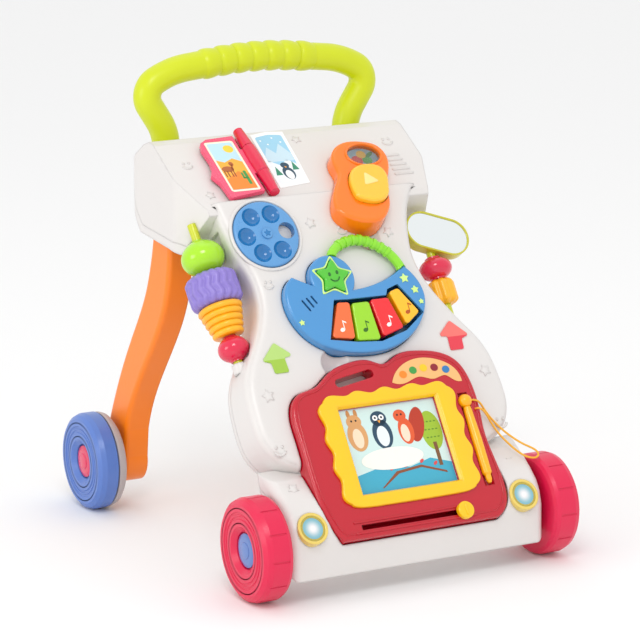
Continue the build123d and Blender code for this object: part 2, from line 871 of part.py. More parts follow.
def rect_slab(centre_u, centre_v, width, height, low, high):
    """Rectangular slab on the panel."""
    with BuildPart() as made:
        with BuildSketch(PANEL.offset(low)):
            with Locations((centre_u, centre_v)):
                Rectangle(width, height)
        extrude(amount=high - low)
    return made.part


def board_hollow():
    """Space inside the board for the screen and the wiper bar."""
    with BuildPart() as made:
        add(board_blank(-3, -7.1, 5))
        add(rect_slab(-15, -16, 166, 140, -8, 6), mode=Mode.INTERSECT)
    return made.part


def board_body_part():
    """Crimson drawing board: window, screen slot, eraser channel, pen rest and carry slot."""
    u, v, width, height = WINDOW
    knob_u, knob_v, travel = SLIDE
    with BuildPart() as board_body:
        add(board_blank(0, -9.6, 8))
        top = board_body.faces().sort_by(Axis(PANEL.origin, PANEL.z_dir))[-1]
        fillet(top.edges(), 3)
        add(rect_slab(u, v, width, height, 1, 9), mode=Mode.SUBTRACT)
        add(board_hollow(), mode=Mode.SUBTRACT)
        with BuildSketch(PANEL.offset(1)):
            with Locations((knob_u - travel / 2, knob_v)):
                Rectangle(travel + 8, 5)
        extrude(amount=8, mode=Mode.SUBTRACT)
        with BuildSketch(spot(PANEL, -27, 69.5, -10)):
            SlotOverall(44, 8.5, rotation=9)
        extrude(amount=19, mode=Mode.SUBTRACT)
        with BuildSketch(Plane(PANEL.location * Location((PEN_U, -56, PEN_H), (-90, 0, 0)))):
            Circle(5.5)
        extrude(amount=96, mode=Mode.SUBTRACT)
        with Locations(PANEL.location * Location((PEN_U, 31, PEN_H))):
            Sphere(7.2, mode=Mode.SUBTRACT)
        add(palette_part(), mode=Mode.SUBTRACT)
    return board_body.part


def palette_part():
    """Peach colour palette let into the top right corner of the board."""
    with BuildPart() as board_palette:
        with BuildSketch(PANEL.offset(7.2)):
            with BuildLine():
                Spline((12, 60), (24, 74), (44, 81), (66, 78), (84, 66), (88, 52))
                Spline((88, 52), (80, 54), (72, 60), (58, 58), (44, 62), (28, 58), (12, 60))
            make_face()
        extrude(amount=1)
    return board_palette.part


def board_frame_part():
    """Yellow frame with a wavy outer edge round the screen."""
    u, v, width, height = WINDOW
    outer_w, outer_h = width + 40, height + 26
    with BuildPart() as board_frame:
        with BuildSketch(PANEL.offset(8)):
            with Locations((u, v)):
                RectangleRounded(outer_w, outer_h, 12)
                with GridLocations(outer_w / 4.6, outer_h, 4, 2):
                    Circle(4.2)
                with GridLocations(outer_w, outer_h / 3.8, 2, 3):
                    Circle(4.2)
                Rectangle(width, height, mode=Mode.SUBTRACT)
        extrude(amount=4)
        top = board_frame.faces().sort_by(Axis(PANEL.origin, PANEL.z_dir))[-1]
        fillet(top.edges(), 1.2)
    return board_frame.part


def board_screen_part():
    """Magnetic drawing screen with the printed sheet behind it."""
    u, v, width, height = WINDOW
    return rect_slab(u, v, width + 6, height + 6, 3.4, 5)


def eraser_part():
    """Eraser knob, its stem through the channel and the wiper bar behind the screen."""
    knob_u, knob_v, _ = SLIDE
    with BuildPart() as eraser_slider:
        add(disc(spot(PANEL, knob_u, knob_v), 8.5, 8.5, 14))
        fillet(eraser_slider.faces().sort_by(Axis(PANEL.origin, PANEL.z_dir))[-1].edges(), 1.5)
        add(rect_slab(knob_u, knob_v, 4.4, 4.2, 1.5, 8.5))
        add(rect_slab(knob_u, -20.3, 6, 118, 0.6, 3.0))
    return eraser_slider.part


def stylus_part():
    """Magnetic pen: round head, tapered barrel and tip."""
    base = Plane(PANEL.location * Location((PEN_U, 0, PEN_H), (-90, 0, 0)))
    points = [(-54, 1.6), (-51, 3), (-46, 3.2), (-44, 4.8), (-10, 5.1), (20, 4.2), (24.5, 3.8)]
    with BuildPart() as stylus:
        with BuildSketch(Plane(base.location * Location((0, 0, 0), (0, -90, 0)))):
            with BuildLine():
                Polyline((-54, 0), *points, (24.5, 0), close=True)
            make_face()
        revolve(axis=Axis(base.origin, base.z_dir))
        with Locations(base.offset(31)):
            Sphere(6.8)
    return stylus.part


# ---- pen cord -----------------------------------------------------------------------------------
CORD_D = 2.0
CORD_ROUTE = [
    (90.9, 31, 9.4), (95.2, 30.4, 10.2), (99.3, 27.1, 9.9), (103, 21.5, 7.0), (108.6, 13.6, 3.6),
    (115, 4.5, 2.4), (121.5, -4.5, 2.8), (129, -13, 3.6), (136.5, -19.6, 4.2), (142.6, -23.8, 5.0),
    (147.2, -28.3, 6.4), (147.6, -33.4, 8.0), (143.2, -36.4, 8.4), (137, -35.2, 7.6),
    (130.6, -30.8, 6.2), (124.5, -23.5, 5), (118.5, -14, 3.8), (113, -4, 3), (108.4, 6, 4.2),
    (104, 13.2, 8.0), (100, 17.8, 11.2), (96.2, 20.6, 12.0), (93.8, 21.8, 10.4), (93.2, 22, 8.0),
]


def cord_part():
    """Free loop of string from the pen back to the board."""
    points = [(PANEL.location * Location(p)).position for p in CORD_ROUTE]
    radii = []
    for before, here, after in zip(points, points[1:], points[2:]):
        turn = math.radians((here - before).get_angle(after - here))
        short = min((here - before).length, (after - here).length)
        radii.append(0.45 * short / math.tan(turn / 2))
    print("cord radii", [round(r, 1) for r in radii])
    with BuildLine() as route:
        FilletPolyline(*points, radius=radii)
    with BuildPart() as pen_cord:
        with BuildSketch(Plane(points[0], z_dir=points[1] - points[0])):
            Circle(CORD_D / 2)
        sweep(path=route.wire())
    length = route.wire().length
    ideal = math.pi * CORD_D ** 2 / 4 * length
    print("cord length", round(length, 1), "volume ratio", round(pen_cord.part.volume / ideal, 4))
    return pen_cord.part


# ---- body shells --------------------------------------------------------------------------------
REAR_REGION = [(-166, 40), (-166, 92), (-148, 100), (-128.8, 102.6), (5.4, 301.6), (18, 303.5), (96, 310),
               (113, 328), (123, 356), (150, 372), (200, 372), (200, 0), (-110, 0), (-110, 40)]


def rear_region():
    """Everything behind the parting line of the two shells."""
    with BuildPart() as made:
        with BuildSketch(Plane.YZ):
            with BuildLine():
                Polyline(*REAR_REGION, close=True)
            make_face()
        extrude(amount=200, both=True)
    return made.part


def handle_part():
    """Hollow push handle with seven grip ribs."""
    with BuildPart() as handle:
        add(tube(HANDLE_R))
        for step in range(-3, 4):
            x = 18 * step
            z = 466.7 - 0.00112 * x * x
            with Locations(Location((x, 117, z), (0, 90 + math.degrees(x / 400), 0))):
                Torus(12.6, 3.0)
        add(tube(HANDLE_R - 2.5), mode=Mode.SUBTRACT)
    return handle.part


def front_shell_part(outer, inner, leg, bar):
    """White front moulding: panel, shoulder and foot with every seat that the toys sit in."""
    with BuildPart() as wells:
        add(board_blank(4, -13.2, -1))
        add(piano_blank(3.6, -18.2, -2))
        add(disc(spot(PANEL, DIAL[0], DIAL[1]), DIAL[2] + 3.8, -8.6, -3))
        add(disc(spot(PANEL, DIAL[0], DIAL[1]), 6.5, -12, -8))
        add(disc(spot(PANEL, 38, 215), 19, -11, -2))
        add(disc(spot(PANEL, -38, 92), 16, -11, -2))
        for side in (-1, 1):
            add(disc(spot(PANEL, side * LAMP_U, LAMP_V), 18, -2, 1))
        for u, v in SCREWS:
            add(disc(spot(PANEL, u, v), 4.5, -PLATE + WALL, -2))
        add(outer, mode=Mode.INTERSECT)
    with BuildPart() as front_shell:
        add(outer)
        add(inner, mode=Mode.SUBTRACT)
        add(rear_region(), mode=Mode.SUBTRACT)
        add(wells.part)
        for side in (-1, 1):
            add(disc(Plane(origin=(side * 137.5, -AXLE_Y, 50), z_dir=(side, 0, 0)), 9, 0, 6.1))
        add(disc(ROD_L, 7.5, -80, -70))
        add(disc(ROD_R, 7.5, -78, -65))
        add(board_blank(1, -10, 20), mode=Mode.SUBTRACT)
        add(piano_blank(0.6, -15, 6), mode=Mode.SUBTRACT)
        add(disc(spot(PANEL, DIAL[0], DIAL[1]), DIAL[2] + 0.5, -5.4, 4), mode=Mode.SUBTRACT)
        with Locations(spot(PANEL, 38, 215, 10), spot(PANEL, -38, 90, 8)):
            Sphere(17, mode=Mode.SUBTRACT)
        add(toy_blank(0, -24, 10), mode=Mode.SUBTRACT)
        for cutter in (rods_part(), front_axle_bar(), screw_set(), lamp_bezels(), lamp_lenses(),
                       arrow_pair(), dial_pin(), book_spine_ends_part(), leg, bar):
            add(cutter, mode=Mode.SUBTRACT)
    return front_shell.part


def rear_cover_part(outer, inner, leg, bar):
    """White rear moulding that closes the body from behind."""
    with BuildPart() as rear_cover:
        add(outer)
        add(inner, mode=Mode.SUBTRACT)
        add(rear_region(), mode=Mode.INTERSECT)
        for cutter in (screw_set(), leg, bar, toy_blank(0, -24, 10)):
            add(cutter, mode=Mode.SUBTRACT)
    return rear_cover.part


def rods_part():
    """The two bead rods."""
    with BuildPart() as bead_rods:
        add(rod(ROD_L, -79, 78, ROD_R_MM))
        add(rod(ROD_R, -77, 45, ROD_R_MM))
    return bead_rods.part


def leg_hollow():
    """Space inside a blow-moulded leg, open at the top."""
    front = [(40.5, 337), (44.5, 298), (48.5, 272), (56.5, 240), (78.5, 200), (108.5, 160), (137, 118)]
    back = [(176.5, 110), (153.5, 152), (124.8, 196), (97, 240), (82.2, 280), (75.4, 312), (73.4, 337)]
    with BuildPart() as made:
        with BuildSketch(Plane.YZ.offset(LEG_X[0] + 3)):
            with BuildLine():
                Spline(*front)
                Line(front[-1], (156, 84))
                Line((156, 84), (188, 84))
                Line((188, 84), back[0])
                Spline(*back)
                Line(back[-1], front[0])
            make_face()
        extrude(amount=LEG_X[1] - LEG_X[0] - 6)
    return made.part


def leg_pair():
    """Both rear legs with the stub axle holes, right and left."""
    with BuildPart() as right:
        add(leg_solid())
        add(leg_hollow(), mode=Mode.SUBTRACT)
        add(rear_axle_stubs(), mode=Mode.SUBTRACT)
    with BuildPart() as left:
        add(right.part)
        mirror(about=Plane.YZ, mode=Mode.REPLACE)
    return right.part, left.part


def main():
    outer, inner = envelope(0), envelope(WALL)
    leg_right, leg_left = leg_pair()
    with BuildPart() as both_legs:
        add(leg_solid())
        mirror(about=Plane.YZ)
    bar = tube(HANDLE_R)
    save(front_shell_part(outer, inner, both_legs.part, bar), "front_shell")
    save(rear_cover_part(outer, inner, both_legs.part, bar), "rear_cover")
    save(handle_part(), "handle")
    save(leg_right, "leg_right")
    save(leg_left, "leg_left")
    save(front_axle_bar(), "front_axle")
    save(rear_axle_stubs(), "rear_axles")
    save(screw_set(), "body_screws")
    for side, word in ((1, "right"), (-1, "left")):
        save(front_wheel(side), "front_wheel_" + word)
        save(hub_cap(side, -AXLE_Y, 167), "front_cap_" + word)
        save(rear_wheel(side), "rear_wheel_" + word)
        save(rear_ring(side), "rear_ring_" + word)
        save(hub_cap(side, AXLE_Y, 169), "rear_cap_" + word)
    save(lamp_bezels(), "headlight_bezels")
    save(lamp_lenses(), "headlight_lenses")
    save(arrow_pair(), "arrow_badges")
    save(dial(), "dial_disc")
    save(dial_pin(), "dial_spindle")
    save(toy_housing_part(), "toy_housing")
    save(toy_lens(), "toy_window")
    save(toy_card(), "toy_picture")
    save(toy_button_part(), "toy_button")
    save(book_spine_ends_part(), "book_spine_ends")
    save(book_pin_bar(), "book_pin")
    save(book_leaf_part(), "book_leaf")
    save(leaf_card(), "book_leaf_card")
    save(page_card(), "book_page_card")
    save(rods_part(), "bead_rods")
    save(bead_green_part(), "bead_green")
    save(bead_purple_part(), "bead_purple")
    save(bead_cone_part(), "bead_cone")
    save(bead_pink_part(), "bead_pink")
    save(ring_pink_part(), "ring_pink")
    save(ring_yellow_part(), "ring_yellow")
    save(mirror_frame_part(), "mirror_frame")
    save(mirror_glass_part(), "mirror_glass")
    save(piano_body_part(), "piano_body")
    save(piano_back_part(), "piano_back")
    for name in KEYS:
        save(key_part(name), name)
    save(star_button_part(), "star_button")
    save(piano_handle_part(), "piano_handle")
    save(piano_circuit_part(), "piano_circuit")
    save(piano_speaker_part(), "piano_speaker")
    save(piano_pads_part(), "piano_pads")
    save(piano_cells_part(), "piano_cells")
    save(board_body_part(), "board_body")
    save(board_frame_part(), "board_frame")
    save(palette_part(), "board_palette")
    save(board_screen_part(), "board_screen")
    save(eraser_part(), "eraser_slider")
    save(stylus_part(), "stylus")
    save(cord_part(), "pen_cord")


if __name__ == "__main__":
    main()
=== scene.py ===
"""Looks of a toddler walker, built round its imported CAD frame. Metres, +Z up, the front faces -Y."""

import logging
import math
from dataclasses import dataclass, field
from enum import Enum

import bmesh
import bpy
from mathutils import Matrix, Vector


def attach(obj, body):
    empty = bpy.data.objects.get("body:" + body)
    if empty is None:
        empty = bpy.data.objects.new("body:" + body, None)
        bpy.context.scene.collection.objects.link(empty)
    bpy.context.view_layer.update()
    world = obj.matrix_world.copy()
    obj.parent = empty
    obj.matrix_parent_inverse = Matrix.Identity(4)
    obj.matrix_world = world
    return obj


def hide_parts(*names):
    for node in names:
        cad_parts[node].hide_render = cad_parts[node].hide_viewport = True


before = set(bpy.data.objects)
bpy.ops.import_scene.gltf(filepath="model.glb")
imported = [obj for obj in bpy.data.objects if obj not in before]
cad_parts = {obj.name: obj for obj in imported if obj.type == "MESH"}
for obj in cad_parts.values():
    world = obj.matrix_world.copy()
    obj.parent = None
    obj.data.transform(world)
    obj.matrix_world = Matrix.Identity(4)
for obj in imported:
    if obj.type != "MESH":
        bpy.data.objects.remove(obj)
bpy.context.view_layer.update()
LOG = logging.getLogger("walker")
MM = 0.001
Point = tuple[float, float]


class Side(Enum):
    """Side of the walker, as seen by somebody who looks at its front."""

    RIGHT = 1
    LEFT = -1


class Axle(Enum):
    """Which axle a wheel is on: the sign of its Y."""

    FRONT = -1
    REAR = 1


# ---- reference planes ---------------------------------------------------------------------------
def turning(degrees: float, axis: str) -> Matrix:
    """Turn about one of the axes."""
    return Matrix.Rotation(math.radians(degrees), 4, axis)


@dataclass(frozen=True)
class Slope:
    """A tilted face of the body: u to the right, v up the slope, h out of it, in millimetres."""

    y: float
    z: float
    tilt: float

    def place(self, u: float = 0.0, v: float = 0.0, h: float = 0.0, turn: float = 0.0) -> Matrix:
        """Matrix that puts a shape drawn about its own origin on this slope.

        Args:
            u: distance to the right.
            v: distance up the slope.
            h: height above the slope.
            turn: degrees about the slope's normal.

        Returns:
            The matrix, in metres.
        """
        base = Matrix.Translation((0, self.y * MM, self.z * MM)) @ turning(self.tilt, "X")
        return base @ Matrix.Translation((u * MM, v * MM, h * MM)) @ turning(turn, "Z")

    def at(self, u: float, v: float, h: float = 0.0) -> Vector:
        """Point on the slope, in metres."""
        return self.place(u, v, h).translation


PANEL = Slope(-163.65, 126.1, 56.0)
SHELF = Slope(-15.0, 341.5, 32.0)
TOY = Slope(-47.25, 330.0, 38.7)
WHEEL_R = 50.0
AXLE_Y = 178.0
HEAD_H = -49.8      # outer face of the body screws, below the panel


# ---- outlines -----------------------------------------------------------------------------------
def ellipse(u: float, v: float, ru: float, rv: float, turn: float = 0.0, steps: int = 32) -> list[Point]:
    """Ellipse about (u, v), turned by degrees."""
    c, s = math.cos(math.radians(turn)), math.sin(math.radians(turn))
    loop = []
    for k in range(steps):
        a = 2 * math.pi * k / steps
        x, y = ru * math.cos(a), rv * math.sin(a)
        loop.append((u + c * x - s * y, v + s * x + c * y))
    return loop


def star(u: float, v: float, outer: float, inner: float, first: float = 90.0) -> list[Point]:
    """Five-pointed star with one tip in the direction first, in degrees."""
    loop = []
    for k in range(10):
        a = math.radians(first + 36 * k)
        reach = inner if k % 2 else outer
        loop.append((u + reach * math.cos(a), v + reach * math.sin(a)))
    return loop


def rounded(points: list[Point], radius: float, steps: int = 6) -> list[Point]:
    """Closed outline with every corner rounded.

    Args:
        points: the corners.
        radius: radius of the rounding, less where a side is too short for it.
        steps: straight pieces in each arc.

    Returns:
        The rounded outline.
    """
    loop = []
    corners = [Vector(p) for p in points]
    for before, here, after in zip(corners[-1:] + corners[:-1], corners, corners[1:] + corners[:1]):
        cut = min(radius, 0.45 * (before - here).length, 0.45 * (after - here).length)
        start = here + (before - here).normalized() * cut
        end = here + (after - here).normalized() * cut
        for k in range(steps + 1):
            t = k / steps
            spot = start * (1 - t) ** 2 + here * 2 * t * (1 - t) + end * t ** 2
            loop.append((spot.x, spot.y))
    return loop


def box_outline(u: float, v: float, width: float, height: float, radius: float = 0.0) -> list[Point]:
    """Rectangle about (u, v), with rounded corners if radius is more than nothing."""
    a, b = width / 2, height / 2
    corners = [(u - a, v - b), (u + a, v - b), (u + a, v + b), (u - a, v + b)]
    return rounded(corners, radius) if radius else corners


def filleted(points: list[Vector], radii: list[float], steps: int = 10) -> list[Vector]:
    """Open path whose corners are true arcs.

    Args:
        points: corners, with the two ends.
        radii: one radius for each inner corner.
        steps: straight pieces in each arc.

    Returns:
        The points of the path.
    """
    path = [points[0]]
    for before, here, after, radius in zip(points, points[1:], points[2:], radii):
        a, b = (before - here).normalized(), (after - here).normalized()
        half = a.angle(b) / 2
        centre = here + (a + b).normalized() * radius / math.sin(half)
        start = here + a * radius / math.tan(half) - centre
        end = here + b * radius / math.tan(half) - centre
        sweep = start.angle(end)
        for k in range(steps + 1):
            t = k / steps
            arm = start * math.sin((1 - t) * sweep) + end * math.sin(t * sweep)
            path.append(centre + arm / math.sin(sweep))
    path.append(points[-1])
    return path


# ---- materials ----------------------------------------------------------------------------------
def linear(colour: str, shade: float = 1.0) -> tuple[float, float, float, float]:
    """Linear RGBA of an sRGB hex colour, made lighter or darker by shade."""
    values = [int(colour[k:k + 2], 16) / 255 for k in (1, 3, 5)]
    curve = [c / 12.92 if c <= 0.04045 else ((c + 0.055) / 1.055) ** 2.4 for c in values]
    return (*[min(1.0, c * shade) for c in curve], 1.0)


def feed(node: bpy.types.Node, inputs: dict) -> None:
    """Set a node's sockets.

    Args:
        node: the node.
        inputs: socket name or number to a value, or to another node's output.
    """
    for key, value in inputs.items():
        if isinstance(value, bpy.types.NodeSocket):
            node.id_data.links.new(value, node.inputs[key])
        else:
            node.inputs[key].default_value = value


def add_node(tree: bpy.types.NodeTree, kind: str, inputs: dict | None = None, **settings) -> bpy.types.Node:
    """Add a node to a material.

    Args:
        tree: the material's node tree.
        kind: the node's type name.
        inputs: what its sockets get.
        settings: the node's own settings.

    Returns:
        The new node.
    """
    node = tree.nodes.new(kind)
    for key, value in settings.items():
        setattr(node, key, value)
    feed(node, inputs or {})
    return node


def position(tree: bpy.types.NodeTree) -> bpy.types.NodeSocket:
    """Place on the piece, in the row frame."""
    return add_node(tree, "ShaderNodeTexCoord").outputs["Object"]


def noise(tree: bpy.types.NodeTree, width_mm: float, detail: float) -> bpy.types.NodeSocket:
    """Cloudy pattern whose patches are about width_mm wide."""
    inputs = {"Vector": position(tree), "Scale": 1 / (width_mm * MM), "Detail": detail}
    return add_node(tree, "ShaderNodeTexNoise", inputs).outputs["Fac"]


def mixed(tree: bpy.types.NodeTree, factor: bpy.types.NodeSocket, first: object,
          second: object) -> bpy.types.NodeSocket:
    """Colour between the first and the second, by a factor."""
    inputs = {"Factor": factor, "A": first, "B": second}
    return add_node(tree, "ShaderNodeMix", inputs, data_type="RGBA").outputs["Result"]


def spread(tree: bpy.types.NodeTree, value: bpy.types.NodeSocket, low: float,
           high: float) -> bpy.types.NodeSocket:
    """Value from 0 to 1 spread over low to high."""
    inputs = {"Value": value, "To Min": low, "To Max": high}
    return add_node(tree, "ShaderNodeMapRange", inputs).outputs["Result"]


def new_material(name: str) -> tuple[bpy.types.Material, bpy.types.NodeTree, bpy.types.Node]:
    """Empty material with its Principled shader joined to the output."""
    material = bpy.data.materials.new(name)
    material.use_nodes = True
    tree = material.node_tree
    tree.nodes.clear()
    shader = add_node(tree, "ShaderNodeBsdfPrincipled")
    add_node(tree, "ShaderNodeOutputMaterial", {"Surface": shader.outputs["BSDF"]})
    return material, tree, shader


@dataclass(frozen=True)
class Moulding:
    """Moulded plastic. The tool leaves a faint orange peel, soft edges and a nearly even colour.

    Attributes:
        edge_mm: how soft an edge looks.
        peel_mm: width of one dimple of the surface.
        peel: strength of the peel.
        glow: light that goes through a translucent wall.
        drift: unevenness of the colour.
        cloud_mm: width of one patch of that unevenness.
    """

    name: str
    colour: str
    roughness: float = 0.26
    edge_mm: float = 0.8
    peel_mm: float = 2.2
    peel: float = 0.10
    coat: float = 0.25
    glow: float = 0.0
    drift: float = 0.035
    cloud_mm: float = 45.0

    def build(self) -> bpy.types.Material:
        """Make the material."""
        material, tree, shader = new_material(self.name)
        dimples = noise(tree, self.peel_mm, 2.0)
        soft = add_node(tree, "ShaderNodeBevel", {"Radius": self.edge_mm * MM}, samples=6)
        bump = {"Strength": self.peel, "Distance": 0.1 * MM, "Height": dimples,
                "Normal": soft.outputs["Normal"]}
        dark, light = linear(self.colour, 1 - self.drift), linear(self.colour, 1 + self.drift)
        feed(shader, {
            "Base Color": mixed(tree, noise(tree, self.cloud_mm, 3.0), dark, light),
            "Roughness": spread(tree, dimples, self.roughness - 0.04, self.roughness + 0.05),
            "Normal": add_node(tree, "ShaderNodeBump", bump).outputs["Normal"],
            "IOR": 1.52,
            "Coat Weight": self.coat,
            "Coat Roughness": 0.12,
        })
        if self.glow:
            feed(shader, {"Subsurface Weight": self.glow, "Subsurface Radius": (0.004, 0.004, 0.004)})
        return material


@dataclass(frozen=True)
class Print:
    """Offset print on a smooth card: flat ink with a faint paper grain.

    Attributes:
        fibre_mm: width of a fibre; real ones are 0.1 mm wide, and these are drawn wider so that they show.
    """

    name: str
    colour: str
    roughness: float = 0.42
    fibre_mm: float = 0.5

    def build(self) -> bpy.types.Material:
        """Make the material."""
        material, tree, shader = new_material(self.name)
        fibre = noise(tree, self.fibre_mm, 2.0)
        ink = mixed(tree, fibre, linear(self.colour, 0.93), linear(self.colour, 1.05))
        feed(shader, {"Base Color": ink, "Roughness": self.roughness})
        return material


@dataclass(frozen=True)
class Metal:
    """Drawn or rolled metal with fine lines, line_mm wide."""

    name: str
    colour: str
    roughness: float = 0.3
    line_mm: float = 0.6

    def build(self) -> bpy.types.Material:
        """Make the material."""
        material, tree, shader = new_material(self.name)
        rough = spread(tree, noise(tree, self.line_mm, 3.0), self.roughness - 0.08, self.roughness + 0.1)
        feed(shader, {"Base Color": linear(self.colour), "Roughness": rough, "Metallic": 1.0})
        return material


@dataclass(frozen=True)
class Halo:
    """Printed lens: the colour goes from a middle tint to a rim tint round one point."""

    name: str
    centre: tuple[float, float, float]
    radius_mm: float
    middle: str
    rim: str

    def build(self) -> bpy.types.Material:
        """Make the material."""
        material, tree, shader = new_material(self.name)
        ends = {0: position(tree), 1: self.centre}
        reach = add_node(tree, "ShaderNodeVectorMath", ends, operation="DISTANCE").outputs["Value"]
        limits = {"Value": reach, "From Max": self.radius_mm * MM}
        share = add_node(tree, "ShaderNodeMapRange", limits, interpolation_type="SMOOTHSTEP")
        tint = mixed(tree, share.outputs["Result"], linear(self.middle), linear(self.rim))
        feed(shader, {"Base Color": tint, "Roughness": 0.12, "Coat Weight": 0.6})
        return material


@dataclass(frozen=True)
class Badge:
    """Two inlays in one: green on the left and red on the right, each with a paler upper half.

    Attributes:
        left: lower and upper colour of the left inlay.
        right: the same for the right one.
        level_mm: where the upper half starts, up the panel.
    """

    name: str = "abs_arrow_inlay"
    left: tuple[str, str] = ("#9FC544", "#B4D676")
    right: tuple[str, str] = ("#E23C4C", "#F2736C")
    level_mm: float = 101.0

    def build(self) -> bpy.types.Material:
        """Make the material."""
        material, tree, shader = new_material(self.name)
        where = position(tree)
        up = PANEL.place().to_3x3() @ Vector((0, 1, 0))
        x = add_node(tree, "ShaderNodeSeparateXYZ", {0: where}).outputs["X"]
        height = add_node(tree, "ShaderNodeVectorMath", {0: where, 1: tuple(up)}, operation="DOT_PRODUCT")
        limit = PANEL.at(0, self.level_mm).dot(up)
        upper, right = [
            add_node(tree, "ShaderNodeMath", {0: value, 1: edge}, operation="GREATER_THAN").outputs["Value"]
            for value, edge in ((height.outputs["Value"], limit), (x, 0.0))
        ]
        tones = [mixed(tree, upper, linear(low), linear(high)) for low, high in (self.left, self.right)]
        feed(shader, {"Base Color": mixed(tree, right, *tones), "Roughness": 0.3})
        return material


@dataclass(frozen=True)
class Clear:
    """Clear moulded polystyrene, or a silvered sheet of it, with flow marks flow_mm wide."""

    name: str
    colour: str
    silvered: bool = False
    flow_mm: float = 20.0

    def build(self) -> bpy.types.Material:
        """Make the material."""
        material, tree, shader = new_material(self.name)
        bump = {"Strength": 0.12, "Distance": 0.2 * MM, "Height": noise(tree, self.flow_mm, 1.0)}
        feed(shader, {
            "Base Color": linear(self.colour),
            "Normal": add_node(tree, "ShaderNodeBump", bump).outputs["Normal"],
            "Roughness": 0.06,
            "Metallic": 1.0 if self.silvered else 0.0,
            "Transmission Weight": 0.0 if self.silvered else 1.0,
            "IOR": 1.5,
        })
        return material


# White ABS: warm white, satin, with large soft roundings.
BODY = Moulding("abs_white_injection_moulded", "#DDD9D6", 0.34, edge_mm=3.0, coat=0.10, peel=0.06,
                drift=0.012)
# Polyethylene, blow moulded: a duller skin than ABS and a wavier peel.
GRIP = Moulding("pe_lime_blow_moulded", "#CBD600", 0.36, coat=0.05, peel_mm=3.5)
LEG = Moulding("pe_orange_blow_moulded", "#FF8206", 0.36, edge_mm=2.0, coat=0.05, peel_mm=3.5)
TYRE_PINK = Moulding("pp_raspberry_moulded", "#DE0A46", 0.36, coat=0.12)
TYRE_BLUE = Moulding("pp_sky_blue_moulded", "#5679C4", 0.36, coat=0.12)
TYRE_GREY = Moulding("tpr_grey_soft_ring", "#B4ABAB", 0.55, coat=0.0, peel=0.2)
CAP_BLUE = Moulding("abs_steel_blue_gloss", "#5B7EC0", 0.2)
CAP_PINK = Moulding("abs_raspberry_gloss", "#E02A5A", 0.2)
ROD = Moulding("abs_lime_moulded", "#C9CF1C", 0.28)
MIRROR_RIM = Moulding("abs_olive_lime_moulded", "#CBC62A", 0.28, edge_mm=1.5)
BEAD_GREEN = Moulding("abs_spring_green_gloss", "#A5DF12", 0.14, coat=0.5)
BEAD_PURPLE = Moulding("abs_lavender_satin", "#8B79C9", 0.34)
BEAD_YELLOW = Moulding("abs_amber_satin", "#FFB515", 0.32, glow=0.05)
BEAD_PINK = Moulding("abs_magenta_red_gloss", "#DC0840", 0.12, coat=0.6)
DIAL_BLUE = Moulding("abs_pale_blue_satin", "#5C9AD2", 0.28)
# Deep blue gloss: the dial emblem's own colour, and the painted shade in the dial's dimples and finger hole.
DIAL_DEEP_AND_DIMPLE_SHADE = Moulding("abs_deep_blue_gloss", "#1273B4", 0.14, coat=0.5)
PIANO_BLUE = Moulding("abs_sky_gloss", "#4590CC", 0.16, edge_mm=1.2, coat=0.4)
PIANO_DEEP = Moulding("abs_ocean_gloss", "#2A76B0", 0.2, edge_mm=1.2)
CARRY_GREEN = Moulding("abs_leaf_green_gloss", "#8BDC1E", 0.14, coat=0.5, glow=0.1)
STAR_GREEN = Moulding("ps_translucent_green", "#4FC126", 0.12, coat=0.6, glow=0.35)
STAR_RIM = Moulding("abs_pale_lime", "#D3F58A", 0.3)
KEY_ORANGE = Moulding("abs_key_orange_gloss", "#FF6B2E", 0.14, edge_mm=1.6, coat=0.5)
KEY_GREEN = Moulding("abs_key_green_gloss", "#98D60F", 0.14, edge_mm=1.6, coat=0.5)
KEY_RED = Moulding("abs_key_red_gloss", "#EE1420", 0.14, edge_mm=1.6, coat=0.5)
KEY_YELLOW = Moulding("abs_key_yellow_gloss", "#FFBC0C", 0.14, edge_mm=1.6, coat=0.5)
TOY_ORANGE = Moulding("abs_tangerine_gloss", "#FF7A08", 0.18, edge_mm=1.6, coat=0.3)
TOY_YELLOW = Moulding("ps_translucent_amber", "#FFC22C", 0.14, edge_mm=1.6, coat=0.5, glow=0.3)
SPINE_RED = Moulding("abs_crimson_pink_gloss", "#DC0840", 0.14, coat=0.5)
LEAF_PINK = Moulding("abs_rose_satin", "#EC4E72", 0.26)
BOARD_RED = Moulding("abs_crimson_gloss", "#BE0020", 0.16, edge_mm=1.6, coat=0.3)
FRAME_YELLOW = Moulding("abs_sun_yellow_satin", "#F8C400", 0.24, edge_mm=1.2)
PEN_ORANGE = Moulding("abs_pen_amber", "#FFB400", 0.22)
LAMP_GOLD = Moulding("abs_pale_gold", "#E6CB62", 0.22, coat=0.4)
LAMP_OLIVE = Moulding("abs_olive_gold", "#B9A640", 0.26)
LAMP_ICE = Moulding("abs_pale_ice", "#C4E2E4", 0.16)
TOY_PALE = Moulding("ps_pale_amber", "#FFDF8A", 0.16)
FACE_GREEN = Moulding("ps_dark_green", "#1C6B12", 0.2)
PALETTE_PEACH = Moulding("abs_peach_satin", "#F2B873", 0.3)
STEEL = Metal("steel_drawn_bright", "#C8C9CC")
CLEAR = Clear("ps_clear_moulded", "#F4FAFB")
SILVERED = Clear("pmma_silvered", "#EEF3F4", silvered=True)
CIRCUIT = Moulding("fr4_green_laminate", "#1A5A34", 0.4)
# Braided polyester: the peel stands for its strands.
STRING = Moulding("pet_braided_string", "#F0B030", 0.6, coat=0.0, peel=0.4, peel_mm=1.0)
# Black paper of the speaker cone; the same black is the painted shade in the screws' cross recesses.
BLACK_CONE_AND_RECESS_SHADE = Moulding("paper_black_cone", "#151515", 0.6, coat=0.0)
RUBBER = Moulding("silicone_grey_pad", "#6B6B6E", 0.55, coat=0.0)
STUDIO_PAPER = Moulding("paper_studio_white", "#F4F4F4", 0.75, 0.0, 40, 0.0, 0.0, drift=0.0)


